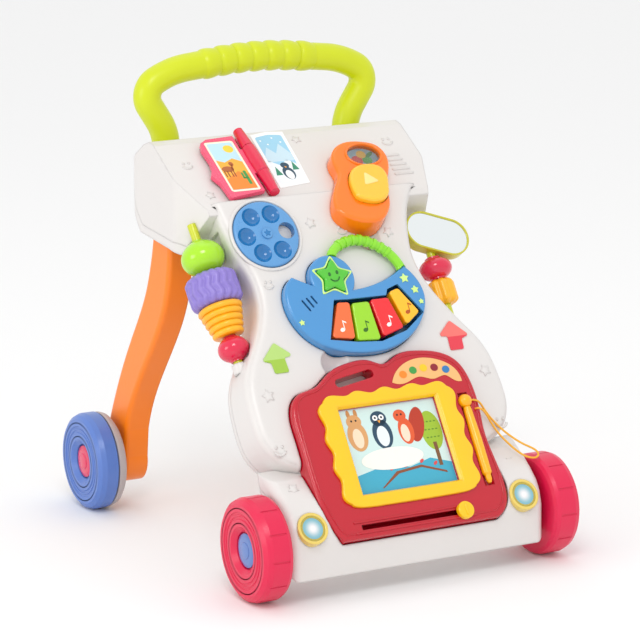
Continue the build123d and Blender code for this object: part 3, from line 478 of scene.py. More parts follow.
class Paints:
    """Keeps one built material for each finish."""

    built: dict[str, bpy.types.Material] = {}

    @classmethod
    def of(cls, finish: object) -> bpy.types.Material:
        """The material of a finish, made on first use."""
        if finish.name not in cls.built:
            cls.built[finish.name] = finish.build()
        return cls.built[finish.name]


# ---- meshes -------------------------------------------------------------------------------------
def slab(mesh: bmesh.types.BMesh, loop: list[Point], place: Matrix, low: float, high: float,
         ink: int = 0, soft: float = 0.0) -> None:
    """Add a closed slab to a mesh.

    Args:
        mesh: the mesh that gets it.
        loop: outline in millimetres.
        place: where the outline's plane lies.
        low: height of its bottom, in millimetres.
        high: height of its top.
        ink: material number of its faces.
        soft: width of the rounding along its top edge.
    """
    corners = [mesh.verts.new(place @ Vector((x * MM, y * MM, low * MM))) for x, y in loop]
    bottom = mesh.faces.new(corners)
    bottom.material_index = ink
    grown = bmesh.ops.extrude_face_region(mesh, geom=[bottom], use_keep_orig=True)["geom"]
    top = [part for part in grown if isinstance(part, bmesh.types.BMVert)]
    rise = place.to_3x3() @ Vector((0, 0, (high - low) * MM))
    bmesh.ops.translate(mesh, verts=top, vec=rise)
    made = {face for vert in corners + top for face in vert.link_faces}
    for face in made:
        face.material_index = ink
    bmesh.ops.recalc_face_normals(mesh, faces=list(made))
    if soft:
        near = {edge for vert in top for edge in vert.link_edges}
        ring = [edge for edge in near if all(vert in top for vert in edge.verts)]
        bmesh.ops.bevel(mesh, geom=ring, offset=soft * MM, affect="EDGES", segments=3, profile=0.5,
                        material=-1, clamp_overlap=True)


def band(mesh: bmesh.types.BMesh, outer: list[Point], inner: list[Point], place: Matrix,
         low: float, high: float, soft: float = 0.0, flare: list[Point] | None = None) -> None:
    """Add a closed ring between two outlines with the same number of points.

    Args:
        mesh: the mesh that gets it.
        outer: outer outline in millimetres.
        inner: inner outline at the bottom.
        place: where the ring's plane lies.
        low: height of its bottom.
        high: height of its top.
        soft: width of the rounding along its top edges.
        flare: inner outline at the top, if it differs from the one at the bottom.
    """
    rings = []
    for loop, height in ((outer, low), (outer, high), (flare or inner, high), (inner, low)):
        verts = [mesh.verts.new(place @ Vector((x * MM, y * MM, height * MM))) for x, y in loop]
        rings.append([mesh.edges.new(pair) for pair in zip(verts, verts[1:] + verts[:1])])
    made = []
    for first, second in zip(rings, rings[1:] + rings[:1]):
        made += bmesh.ops.bridge_loops(mesh, edges=first + second)["faces"]
    bmesh.ops.recalc_face_normals(mesh, faces=made)
    if soft:
        bmesh.ops.bevel(mesh, geom=rings[1] + rings[2], offset=soft * MM, affect="EDGES", segments=3,
                        profile=0.5, material=-1, clamp_overlap=True)


def turned(profile: list[Point], place: Matrix, steps: int = 96, closed: bool = False) -> bmesh.types.BMesh:
    """Turn a profile about the Z axis of a place.

    Args:
        profile: (distance along the axis, radius) points in millimetres.
        place: where the axis lies.
        steps: faces round it.
        closed: whether the profile is a ring that doesn't touch the axis.

    Returns:
        The closed mesh.
    """
    mesh = bmesh.new()
    verts = [mesh.verts.new((radius * MM, 0, along * MM)) for along, radius in profile]
    ends = zip(verts, verts[1:] + verts[:1]) if closed else zip(verts, verts[1:])
    edges = [mesh.edges.new(pair) for pair in ends]
    bmesh.ops.spin(mesh, geom=verts + edges, cent=(0, 0, 0), axis=(0, 0, 1), angle=2 * math.pi,
                   steps=steps, use_merge=True)
    bmesh.ops.remove_doubles(mesh, verts=mesh.verts, dist=1e-6)
    mesh.transform(place)
    bmesh.ops.recalc_face_normals(mesh, faces=mesh.faces)
    return mesh


def gather(whole: bmesh.types.BMesh, part: bmesh.types.BMesh) -> None:
    """Move a finished part into a larger mesh."""
    held = bpy.data.meshes.new("part")
    part.to_mesh(held)
    part.free()
    whole.from_mesh(held)
    bpy.data.meshes.remove(held)


def carved(base: bmesh.types.BMesh, cutters: bmesh.types.BMesh) -> bmesh.types.BMesh:
    """Cut closed shapes out of a closed shape.

    Args:
        base: the shape that is cut.
        cutters: what is taken away.

    Returns:
        What is left of the base.
    """
    holders = []
    for name, shape in (("blank", base), ("cutter", cutters)):
        mesh = bpy.data.meshes.new(name)
        shape.to_mesh(mesh)
        shape.free()
        holders.append(bpy.data.objects.new(name, mesh))
        bpy.context.scene.collection.objects.link(holders[-1])
    cut = holders[0].modifiers.new("cut", "BOOLEAN")
    cut.operation = "DIFFERENCE"
    cut.solver = "EXACT"
    cut.object = holders[1]
    left = bmesh.new()
    left.from_object(holders[0], bpy.context.evaluated_depsgraph_get())
    for holder in holders:
        bpy.data.objects.remove(holder)
    return left


def piped(paths: list[list[Vector]], radius: float, ring: int = 6,
          swell: list[float] | None = None, closed: bool = False) -> bpy.types.Mesh:
    """Mesh of round pipes along paths.

    Args:
        paths: points of each pipe, in metres.
        radius: radius of the pipes in millimetres.
        ring: how fine the pipe is round its section.
        swell: share of the radius at each point of the first path.
        closed: whether each path closes on itself.

    Returns:
        The pipes' mesh, with closed ends.
    """
    line = bpy.data.curves.new("pipe", "CURVE")
    line.dimensions = "3D"
    line.bevel_depth = radius * MM
    line.bevel_resolution = ring
    line.use_fill_caps = True
    for path in paths:
        spline = line.splines.new("POLY")
        spline.points.add(len(path) - 1)
        spline.use_cyclic_u = closed
        for k, spot in enumerate(path):
            spline.points[k].co = (*spot, 1)
            spline.points[k].radius = swell[k] if swell else 1.0
    holder = bpy.data.objects.new("pipe", line)
    mesh = bpy.data.meshes.new_from_object(holder)
    bpy.data.objects.remove(holder)
    bpy.data.curves.remove(line)
    return mesh


def show(name: str, shape: bmesh.types.BMesh | bpy.types.Mesh, body: str, finishes: list,
         replaces: tuple[str, ...] = (), crease: float = 32.0) -> bpy.types.Object:
    """Turn a finished shape into a piece of the walker.

    Args:
        name: the piece's name.
        shape: its mesh, in place.
        body: the CAD body that it moves with.
        finishes: one finish for each material number.
        replaces: CAD nodes that it stands for.
        crease: edges that turn by more than this many degrees stay sharp.

    Returns:
        The piece.
    """
    if isinstance(shape, bmesh.types.BMesh):
        mesh = bpy.data.meshes.new(name)
        shape.to_mesh(mesh)
        shape.free()
    else:
        mesh = shape
        mesh.name = name
    mesh.polygons.foreach_set("use_smooth", [True] * len(mesh.polygons))
    mesh.set_sharp_from_angle(angle=math.radians(crease))
    for finish in finishes:
        mesh.materials.append(Paints.of(finish))
    piece = bpy.data.objects.new(name, mesh)
    bpy.context.scene.collection.objects.link(piece)
    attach(piece, body)
    if replaces:
        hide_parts(*replaces)
    LOG.info("%s: %d faces on %s", name, len(mesh.polygons), body)
    return piece


def paint(**finishes: object) -> None:
    """Give CAD nodes that stay shown their finish, node by node."""
    for node, finish in finishes.items():
        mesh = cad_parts[node].data
        mesh.materials.clear()
        mesh.materials.append(Paints.of(finish))


def relief(name: str, outlines: list[list[Point]], place: Matrix, heights: Point, soft: float, body: str,
           finish: object) -> bpy.types.Object:
    """Piece made of flat raised shapes.

    Args:
        name: the piece's name.
        outlines: outline of each shape.
        place: the face that they lie on.
        heights: bottom and top above that face, in millimetres.
        soft: width of the rounding along the top edges.
        body: the CAD body that it moves with.
        finish: its finish.

    Returns:
        The piece.
    """
    mesh = bmesh.new()
    for outline in outlines:
        slab(mesh, outline, place, *heights, soft=soft)
    return show(name, mesh, body, [finish])


def hoop(name: str, outer: list[Point], inner: list[Point], place: Matrix, heights: Point, soft: float,
         body: str, finish: object) -> bpy.types.Object:
    """Piece made of one raised ring, between an outer and an inner outline; the rest as for relief()."""
    mesh = bmesh.new()
    band(mesh, outer, inner, place, *heights, soft)
    return show(name, mesh, body, [finish])


# ---- prints -------------------------------------------------------------------------------------
@dataclass
class Picture:
    """A printed picture, a stack of thin ink shapes on one slope."""

    name: str
    slope: Slope
    height: float
    body: str
    slot: str
    step: float = 0.04
    mesh: bmesh.types.BMesh = field(default_factory=bmesh.new)
    inks: list[Print] = field(default_factory=list)

    def lay(self, loop: list[Point], colour: str, level: int = 1) -> None:
        """Print one closed shape.

        Args:
            loop: its outline in the slope's millimetres.
            colour: sRGB hex of the ink.
            level: which layer it is, the lowest being 0.
        """
        ink = Print("ink_" + colour[1:].lower(), colour)
        if ink not in self.inks:
            self.inks.append(ink)
        low = self.height
        slab(self.mesh, loop, self.slope.place(), low, low + self.step * (level + 1), self.inks.index(ink))

    def build(self) -> bpy.types.Object:
        """Finish the picture as a piece."""
        return show(self.name, self.mesh, self.body, self.inks)


# ---- body ---------------------------------------------------------------------------------------
@dataclass(frozen=True)
class Doodle:
    """Small raised star or smile moulded into a white face."""

    slope: Slope
    u: float
    v: float
    size: float
    turn: float = 0.0
    smile: bool = False

    def add_to(self, mesh: bmesh.types.BMesh) -> None:
        """Add the doodle to the mesh of all doodles."""
        place = self.slope.place(self.u, self.v, 0, self.turn)
        if not self.smile:
            outlines = [rounded(star(0, 0, self.size, 0.5 * self.size), 1.2)]
        else:
            outlines = self.smiling()
        for outline in outlines:
            slab(mesh, outline, place, -0.8, 0.8, soft=0.3)

    def smiling(self) -> list[list[Point]]:
        """Outlines of a mouth and two eyes."""
        arc = [(math.radians(200 + 140 * k / 14)) for k in range(15)]
        outer = [(self.size * math.cos(a), self.size * math.sin(a)) for a in arc]
        inner = [(0.72 * x, 0.72 * y + 0.6) for x, y in reversed(outer)]
        eyes = [ellipse(0.45 * side * self.size, 0.35 * self.size, 1.4, 1.8) for side in (-1, 1)]
        return [outer + inner, *eyes]


@dataclass(frozen=True)
class Body:
    """White shells with the relief on them, the legs, the axles and the screws."""

    stars: tuple = (
        (PANEL, -118, 66, 7.5, 10), (PANEL, -120, -28, 6.5, 30), (PANEL, 122, 62, 7, 20),
        (PANEL, 118, -34, 6, 40), (PANEL, -20, 236, 6.5, 15), (PANEL, 62, 218, 6.5, 25),
        (SHELF, -112, 20, 6, 12), (SHELF, 14, 88, 6, 18),
    )
    smiles: tuple = (
        (PANEL, -122, 12, 7), (PANEL, 122, 8, 7.5), (PANEL, -84, 178, 6), (PANEL, 12, 226, 6),
        (SHELF, -118, 66, 6.5), (SHELF, 112, 74, 7),
    )
    ridges: int = 5
    screws: tuple[Point, ...] = ((70, 138), (-74, 138), (-5, 243), (122, 50), (-122, 50))

    def build(self) -> None:
        """Paint the mouldings and add the relief."""
        paint(front_shell=BODY, rear_cover=BODY, leg_right=LEG, leg_left=LEG, front_axle=STEEL,
              rear_axles=STEEL, body_screws=STEEL, book_pin=STEEL)
        raised = bmesh.new()
        for doodle in self.stars:
            Doodle(*doodle).add_to(raised)
        for doodle in self.smiles:
            Doodle(*doodle, smile=True).add_to(raised)
        for k in range(self.ridges):
            bar = box_outline(108, 24 + 7 * k, 22 - 1.5 * k, 3.0, 1.4)
            slab(raised, bar, SHELF.place(), -0.8, 1.0, soft=0.4)
        show("body_relief", raised, "chassis", [BODY])
        # Flat black crosses on the screw heads: painted shade standing for the cross recesses.
        cross_shade = bmesh.new()
        for u, v in self.screws:
            for turn in (20, 110):
                slab(cross_shade, box_outline(0, 0, 4.4, 0.9), PANEL.place(u, v, HEAD_H, turn), -0.15, 0.1)
        show("screw_recess_painted_shade", cross_shade, "chassis", [BLACK_CONE_AND_RECESS_SHADE])


@dataclass(frozen=True)
class Handle:
    """Push handle with saw-tooth grip ribs, along a path in an upright plane.

    Attributes:
        rib: how far a rib stands out of the tube.
        groove: how deep the grooves between the ribs are.
        stride: length of one straight piece of the path.
    """

    plane_y: float = 117.0
    radius: float = 14.0
    rib: float = 1.55
    groove: float = 0.8
    pitch: float = 18.0
    ribs: int = 7
    stride: float = 1.2
    corners: tuple[Point, ...] = ((103, 338), (103, 397), (131, 441), (96, 459), (0, 469), (-96, 459),
                                  (-131, 441), (-103, 397), (-103, 338))
    bends: tuple[float, ...] = (50, 18, 90, 400, 90, 18, 50)

    def path(self) -> list[Vector]:
        """Centre line of the tube."""
        points = [Vector((x, self.plane_y, z)) * MM for x, z in self.corners]
        path = filleted(points, [bend * MM for bend in self.bends], 14)
        dense = []
        for a, b in zip(path, path[1:]):
            pieces = max(1, round((b - a).length / (self.stride * MM)))
            dense += [a.lerp(b, k / pieces) for k in range(pieces)]
        return dense + [path[-1]]

    def build(self) -> None:
        """Build the handle as one smooth tube."""
        dense = self.path()
        half = self.ribs * self.pitch / 2
        swell = []
        for spot in dense:
            x = spot.x / MM
            inside = abs(x) < half and spot.z > 0.44
            phase = ((x + half) / self.pitch) % 1.0
            tooth = math.sin(math.pi * phase ** 0.6) ** 0.7
            rise = (self.rib + self.groove) * tooth - self.groove if inside else 0.0
            swell.append(1 + rise / self.radius)
        show("handle_grip", piped([dense], self.radius, 14, swell), "chassis", [GRIP],
             ("handle",), 50)


# ---- wheels and lamps ---------------------------------------------------------------------------
@dataclass(frozen=True)
class Wheel:
    """One wheel: its CAD mouldings painted, with fine rings turned on its face.

    Attributes:
        rings: radius of each ring, and how far it stands out of the face.
        boss: outline of the hub's middle, as distance from the face and radius.
    """

    side: Side
    axle: Axle
    rings: tuple[Point, ...] = ((40.5, 0.3), (33.5, -0.1), (26.5, 0.3))
    boss: tuple[Point, ...] = ((-3.2, 0), (-3.2, 8.4), (-2.4, 8.0), (-2.2, 7.2), (-2.2, 0))

    def build(self) -> None:
        """Paint the wheel and add the rings of its face."""
        front = self.axle is Axle.FRONT
        end, side = self.axle.name.lower(), self.side.name.lower()
        body = f"{end}_wheel_{side}"
        tyre, cap = (TYRE_PINK, CAP_BLUE) if front else (TYRE_BLUE, CAP_PINK)
        paint(**{body: tyre, f"{end}_cap_{side}": cap})
        if not front:
            paint(**{f"rear_ring_{side}": TYRE_GREY})
        centre = Matrix.Translation((0, self.axle.value * AXLE_Y * MM, WHEEL_R * MM))
        place = centre @ turning(90 * self.side.value, "Y")
        face = 173.7 if front else 175.7
        rings = bmesh.new()
        for radius, height in self.rings:
            top = face + height
            section = [(face - 1.2, -0.9), (top - 0.3, -0.9), (top, -0.5), (top, 0.5), (top - 0.3, 0.9),
                       (face - 1.2, 0.9)]
            gather(rings, turned([(x, radius + r) for x, r in section], place, 72, closed=True))
        show(body + "_rings", rings, body, [tyre])
        boss = turned([(face + x, r) for x, r in self.boss], place, 48)
        show(body + "_hub", boss, body, [cap])


@dataclass(frozen=True)
class Lamps:
    """Printed headlights and the two arrow inlays."""

    u: float = 116.5
    v: float = -71.0
    h: float = 9.1
    ring_r: Point = (12.3, 10.4)
    face_r: float = 10.3
    halo_r: float = 9.5

    def build(self) -> None:
        """Paint the rims and add the rings and the printed faces."""
        paint(headlight_bezels=LAMP_GOLD, headlight_lenses=LAMP_ICE, arrow_badges=Badge())
        outer, inner, face = [ellipse(0, 0, r, r, steps=64) for r in (*self.ring_r, self.face_r)]
        for side in Side:
            word = side.name.lower()
            place = PANEL.place(side.value * self.u, self.v, 0)
            hoop(f"lamp_ring_{word}", outer, inner, place, (self.h - 0.3, self.h + 0.5), 0.2,
                 "chassis", LAMP_OLIVE)
            middle = tuple(place @ Vector((0, 0, self.h * MM)))
            halo = Halo(f"ink_lamp_halo_{word}", middle, self.halo_r, "#FBF3F2", "#7DB6C4")
            relief(f"lamp_face_{word}", [face], place, (self.h - 0.2, self.h + 0.12), 0.0,
                   "chassis", halo)


# ---- shelf toys ---------------------------------------------------------------------------------
@dataclass(frozen=True)
class Dial:
    """Turning dial with five dimples, one finger hole and a white rim round it; the dimples and the hole's
    wall are painted deep blue as painted shade.

    Attributes:
        pockets: how many dimples and holes there are in all, the first one the hole.
        first: direction of the hole, in degrees.
        reach: distance of the pockets from the middle.
        ball: radius of the balls that the dimples follow.
        ball_h: height of the balls' middles.
        hole: radius of the finger hole.
    """

    u: float = -71.5
    v: float = 229.0
    radius: float = 34.5
    pockets: int = 6
    first: float = 3.0
    reach: float = 22.0
    ball: float = 11.0
    ball_h: float = 8.5
    hole: float = 8.6
    rim_r: Point = (38.6, 35.3)

    def build(self) -> None:
        """Carve the disc and add the rim and the emblem."""
        paint(dial_spindle=DIAL_BLUE)
        section = [(-5, 3.05), (-5, self.radius), (0.8, self.radius), (1.9, 34.2), (2.7, 33.4), (3, 32.3),
                   (3, 3.05)]
        blank = turned(section, PANEL.place(self.u, self.v), 128, closed=True)
        spots = []
        for k in range(self.pockets):
            a = math.radians(self.first + 360 / self.pockets * k)
            spots.append((self.u + self.reach * math.cos(a), self.v + self.reach * math.sin(a)))
        drill = [(-7, 0), (-7, self.hole), (6, self.hole), (6, 0)]
        cutters = turned(drill, PANEL.place(*spots[0]), 48)
        for u, v in spots[1:]:
            bmesh.ops.create_uvsphere(cutters, u_segments=48, v_segments=32, radius=self.ball * MM,
                                      matrix=PANEL.place(u, v, self.ball_h))
        disc = carved(blank, cutters)
        # Faces inside the dimples and the finger hole take the deep blue: painted shade in the recesses.
        inverse = PANEL.place().inverted()
        for face in disc.faces:
            spot = inverse @ face.calc_center_median() / MM
            near = min(math.hypot(spot.x - u, spot.y - v) for u, v in spots)
            face.material_index = int(near < 9.53 and -4.9 < spot.z < 2.95)
        show("dial_turned", disc, "dial", [DIAL_BLUE, DIAL_DEEP_AND_DIMPLE_SHADE], ("dial_disc",), 30)
        outer, inner = [ellipse(self.u, self.v, r, r, steps=96) for r in self.rim_r]
        hoop("dial_rim", outer, inner, PANEL.place(), (-1.0, 1.8), 1.1, "chassis", BODY)
        emblem = rounded(star(self.u, self.v, 4.2, 2.1), 0.6)
        relief("dial_emblem", [emblem], PANEL.place(), (4.7, 5.1), 0.1, "chassis", DIAL_DEEP_AND_DIMPLE_SHADE)


@dataclass(frozen=True)
class PushToy:
    """Orange push toy with an oval window and a big amber button."""

    window: Point = (64.0, 74.0)

    def build(self) -> None:
        """Paint the toy, print its picture and add the window's rim and the triangle."""
        u, v = self.window
        paint(toy_housing=TOY_ORANGE, toy_button=TOY_YELLOW, toy_window=CLEAR,
              toy_picture=Print("ink_toy_card", "#8FA9B5"))
        outer, inner = [ellipse(u, v, 18.1 + more, 13.1 + more, steps=64) for more in (2.5, 0.0)]
        hoop("toy_window_rim", outer, inner, TOY.place(), (-0.6, 1.4), 0.9, "chassis",
             TOY_ORANGE)
        card = Picture("toy_print", TOY, -6.2, "chassis", "toy_print")
        for level, ink, loop in (
            (0, "#9DB7C4", ellipse(u, v + 1, 17.0, 12.0)),
            (1, "#E2372C", ellipse(u - 6, v - 2, 6.2, 6.0)),
            (1, "#5FA83A", ellipse(u + 5, v - 3, 5.4, 5.6)),
            (2, "#F0B429", ellipse(u + 1, v + 5, 5.4, 5.0)),
            (2, "#3C7F35", ellipse(u + 10, v + 4, 5.5, 2.2, 35)),
        ):
            card.lay(loop, ink, level)
        card.build()
        mark = rounded([(44, 30), (62, 33), (50, 47)], 3.5)
        relief("toy_button_mark", [mark], TOY.place(), (5.8, 6.5), 0.3, "toy_button",
               TOY_PALE)


@dataclass(frozen=True)
class Book:
    """Small book: a pink leaf with a desert page, a fixed page with a snow scene, and a red spine."""

    spine_u: float = -48.4
    spine_h: float = 7.2

    def build(self) -> None:
        """Paint the book and print its two pages."""
        paint(book_spine_ends=SPINE_RED, book_leaf=LEAF_PINK,
              book_leaf_card=Print("ink_page_cream", "#FFF3D6"),
              book_page_card=Print("ink_page_white", "#F7F8F8"))
        base = SHELF.place(self.spine_u, 0, self.spine_h) @ turning(-90, "X")
        section = [(37.4, 6.6), (37.4, 7.2), (46, 7.6), (55.5, 7.8), (65, 7.6), (73.6, 7.2), (73.6, 6.6)]
        sleeve = turned(section, base, 64, closed=True)
        show("book_spine_sleeve", sleeve, "book_leaf", [SPINE_RED])
        self.desert()
        self.snow()

    def desert(self) -> None:
        """Print the desert page."""
        page = Picture("desert_page", SHELF, 7.2, "book_leaf", "page_print")
        for level, ink, loop in (
            (0, "#FFF6DC", box_outline(-76.5, 51, 31.4, 73.4, 3)),
            (1, "#BFE3EE", box_outline(-76.5, 51, 27.5, 69, 2.5)),
            (2, "#F7B23B", [(-90, 17), (-63, 17), (-63, 56), (-72, 62), (-82, 57), (-90, 61)]),
            (3, "#F08A2C", [(-90, 17), (-63, 17), (-63, 38), (-74, 43), (-90, 32)]),
            (2, "#FFD23E", ellipse(-70, 76, 5.5, 5.5)),
            (4, "#B5622B", ellipse(-83, 47, 6.5, 4.2)),
            (4, "#B5622B", ellipse(-76.6, 54, 2.6, 3.2)),
            (4, "#B5622B", [(-79.5, 46), (-77, 54), (-75.6, 53), (-77.4, 44)]),
        ):
            page.lay(loop, ink, level)
        for u in (-88, -85, -81, -78.4):
            page.lay(box_outline(u, 40, 1.3, 9), "#9A4F22", 4)
        for level, ink, loop in (
            (4, "#3F9A48", box_outline(-67.5, 33, 3.2, 20, 1.5)),
            (4, "#3F9A48", box_outline(-71, 36, 2.2, 9, 1)),
            (4, "#3F9A48", box_outline(-69.4, 32.5, 4, 2.2, 1)),
        ):
            page.lay(loop, ink, level)
        page.build()

    def snow(self) -> None:
        """Print the snow page."""
        page = Picture("snow_page", SHELF, 0.8, "chassis", "page_print")
        for level, ink, loop in (
            (0, "#FBFCFC", rounded([(-34, 21), (-1, 25), (1.6, 60), (3, 100), (-14, 102), (-32, 99)], 2)),
            (1, "#9FD2EC", rounded([(-31.5, 25), (-3.5, 28), (-1, 60), (0.2, 96.5), (-14, 98.5),
                                    (-30, 95.6)], 3)),
            (2, "#EFF6FA", [(-31.5, 25), (-3.5, 28), (-1.6, 52), (-10, 60), (-20, 52), (-31.2, 61)]),
            (2, "#C9E3F0", [(-31, 66), (-24, 80), (-17, 70), (-9, 84), (-1, 68), (-1.4, 58), (-31, 58)]),
            (3, "#27485E", ellipse(-16, 40, 6.4, 9.5)),
            (4, "#F5F7F8", ellipse(-16, 37.5, 4.2, 6.8)),
            (4, "#27485E", ellipse(-16, 51.5, 4.6, 4.4)),
            (5, "#F2A43A", [(-17.4, 50), (-14.6, 50), (-16, 47.5)]),
        ):
            page.lay(loop, ink, level)
        for u, v in ((-27, 38), (-6, 44)):
            page.lay([(u - 3.6, v), (u + 3.6, v), (u, v + 13)], "#2F8A6A", 3)
        for u, v in ((-26, 90), (-12, 93), (-5, 86), (-20, 84)):
            page.lay(ellipse(u, v, 1.0, 1.0, steps=12), "#FFFFFF", 3)
        page.build()


# ---- beads and mirror ---------------------------------------------------------------------------
ROD_L = PANEL.place(-128.3, 180, -27) @ turning(-90, "X") @ turning(-3, "Y")
ROD_R = PANEL.place(119, 180, -27) @ turning(-90, "X")


@dataclass(frozen=True)
class Bead:
    """Turned bead on a rod: a profile, and waves that run down its side.

    Attributes:
        lobes: waves round the bead, 0 for a smooth one.
        depth: depth of the waves in millimetres.
        zigzags: how often the waves change direction along the bead.
    """

    name: str
    rod: Matrix
    profile: tuple[Point, ...]
    slot: str
    finish: Moulding
    lobes: int = 0
    depth: float = 0.0
    zigzags: float = 0.0
    bore: float = 4.55

    def build(self) -> None:
        """Turn the bead, press its waves in and put it on the rod."""
        low, high = self.profile[0][0], self.profile[-1][0]
        ring = [*self.profile, (high, self.bore), (low, self.bore)]
        mesh = turned(ring, Matrix.Identity(4), 192 if self.lobes else 96, closed=True)
        if self.lobes:
            for vert in mesh.verts:
                reach = math.hypot(vert.co.x, vert.co.y) / MM
                if reach < self.bore + 1:
                    continue
                share = (vert.co.z / MM - low) / (high - low)
                shift = abs((share * self.zigzags) % 2 - 1) * 2.4
                wave = 0.5 - 0.5 * math.cos(self.lobes * math.atan2(vert.co.y, vert.co.x) + shift)
                keep = 1 - self.depth * wave ** 1.6 / reach
                vert.co.x *= keep
                vert.co.y *= keep
        mesh.transform(self.rod)
        show(self.name + "_turned", mesh, self.name, [self.finish], (self.name,), 55)


def ball(low: float, high: float, radius: float, flat: float = 6.5, steps: int = 32) -> tuple[Point, ...]:
    """Half outline of a ball with flattened poles."""
    middle, half = (low + high) / 2, (high - low) / 2
    angles = [math.radians(-90 + 180 * k / steps) for k in range(steps + 1)]
    return tuple((middle + half * math.sin(a), max(flat, radius * math.cos(a))) for a in angles)


def ribbed(low: float, ribs: int, pitch: float, radius: float, growth: float) -> tuple[Point, ...]:
    """Half outline of a cone of rounded ribs."""
    points = []
    for rib in range(ribs):
        for k in range(9):
            t = k / 8
            bulge = 2.0 * math.sin(math.pi * t) ** 0.6
            points.append((low + pitch * (rib + 0.98 * t), radius + growth * rib - 1.4 + bulge))
    return tuple(points)


def barrel(low: float, high: float, radius: float, steps: int = 24) -> tuple[Point, ...]:
    """Half outline of a roller with rounded shoulders."""
    points = []
    for k in range(steps + 1):
        t = k / steps
        edge = min(t, 1 - t)
        drop = 5.0 * max(0.0, 1 - edge / 0.18) ** 2
        points.append((low + (high - low) * t, radius - drop))
    return tuple(points)


class Beads:
    """All beads and rings on the two rods, and the mirror on the right rod."""

    def build(self) -> None:
        """Build them."""
        paint(bead_rods=ROD, mirror_frame=MIRROR_RIM, mirror_glass=SILVERED)
        Bead("bead_green", ROD_L, ball(24.2, 60, 21.5), "bead_green", BEAD_GREEN).build()
        Bead("bead_purple", ROD_L, barrel(-8.8, 23.6, 26), "bead_purple", BEAD_PURPLE, 18, 2.2, 4).build()
        Bead("bead_cone", ROD_L, ribbed(-40.4, 5, 6.16, 15.2, 1.6), "bead_yellow", BEAD_YELLOW).build()
        Bead("bead_pink", ROD_L, ball(-67, -41, 15.5), "bead_pink", BEAD_PINK).build()
        Bead("ring_pink", ROD_R, ball(-9, 14.5, 17, 8), "bead_pink", BEAD_PINK).build()
        Bead("ring_yellow", ROD_R, barrel(-36, -9.6, 14), "bead_yellow", BEAD_YELLOW, 8, 1.8).build()


# ---- piano --------------------------------------------------------------------------------------
@dataclass(frozen=True)
class Piano:
    """Crescent piano with four keys, a star button and relief on its face."""

    star_at: Point = (-19.0, 173.5)
    stars: tuple = ((66, 151, 4.6), (58, 164, 5.4), (69, 138, 3.2), (-66, 131, 3.4))
    keys: tuple = (
        ("key_orange", KEY_ORANGE, (-23.5, 122.0), "#FFF4EC"),
        ("key_green", KEY_GREEN, (1.0, 119.0), "#356B10"),
        ("key_red", KEY_RED, (28.0, 121.5), "#FFF0F0"),
        ("key_yellow", KEY_YELLOW, (52.5, 132.0), "#B5520A"),
    )

    def build(self) -> None:
        """Paint the piano and add its relief and marks."""
        paint(piano_body=PIANO_BLUE, piano_back=PIANO_DEEP, star_button=STAR_GREEN,
              piano_handle=CARRY_GREEN, piano_circuit=CIRCUIT, piano_speaker=BLACK_CONE_AND_RECESS_SHADE, piano_pads=RUBBER,
              piano_cells=STEEL)
        for name, finish, (u, v), ink in self.keys:
            paint(**{name: finish})
            mark = Picture(name + "_mark", PANEL, 10.4, name, name)
            mark.lay(ellipse(u - 1.8, v - 3.2, 2.7, 2.0, 20), ink, 5)
            flag = [(0.2, -3), (1.0, -3), (1.0, 4.6), (4, 3), (4, 4.6), (0.2, 6.6)]
            mark.lay([(u + x, v + y) for x, y in flag], ink, 5)
            mark.build()
        u, v = self.star_at
        outer = rounded(star(u, v, 23.6, 13.0, 82), 3.4)
        inner = rounded(star(u, v, 20.9, 11.3, 82), 2.6)
        hoop("star_rim", outer, inner, PANEL.place(), (9.2, 11.0), 0.5, "piano", STAR_RIM)
        eyes = [ellipse(u + du, v + dv, 1.5, 2.1) for du, dv in ((-4.6, 2.4), (4.0, 3.6))]
        arc = [math.radians(208 + 140 * k / 12) for k in range(13)]
        lip = [(u + 6 * math.cos(a), v + 6 * math.sin(a)) for a in arc]
        lip += [(u + 4.8 * math.cos(a), v + 0.2 + 4.8 * math.sin(a)) for a in reversed(arc)]
        relief("star_face", [*eyes, lip], PANEL.place(), (13.3, 13.9), 0.2, "star_button",
               FACE_GREEN)
        stars = [rounded(star(su, sv, size, 0.5 * size), 0.8) for su, sv, size in self.stars]
        relief("piano_relief", stars, PANEL.place(), (9.7, 10.9), 0.2, "piano", STAR_RIM)


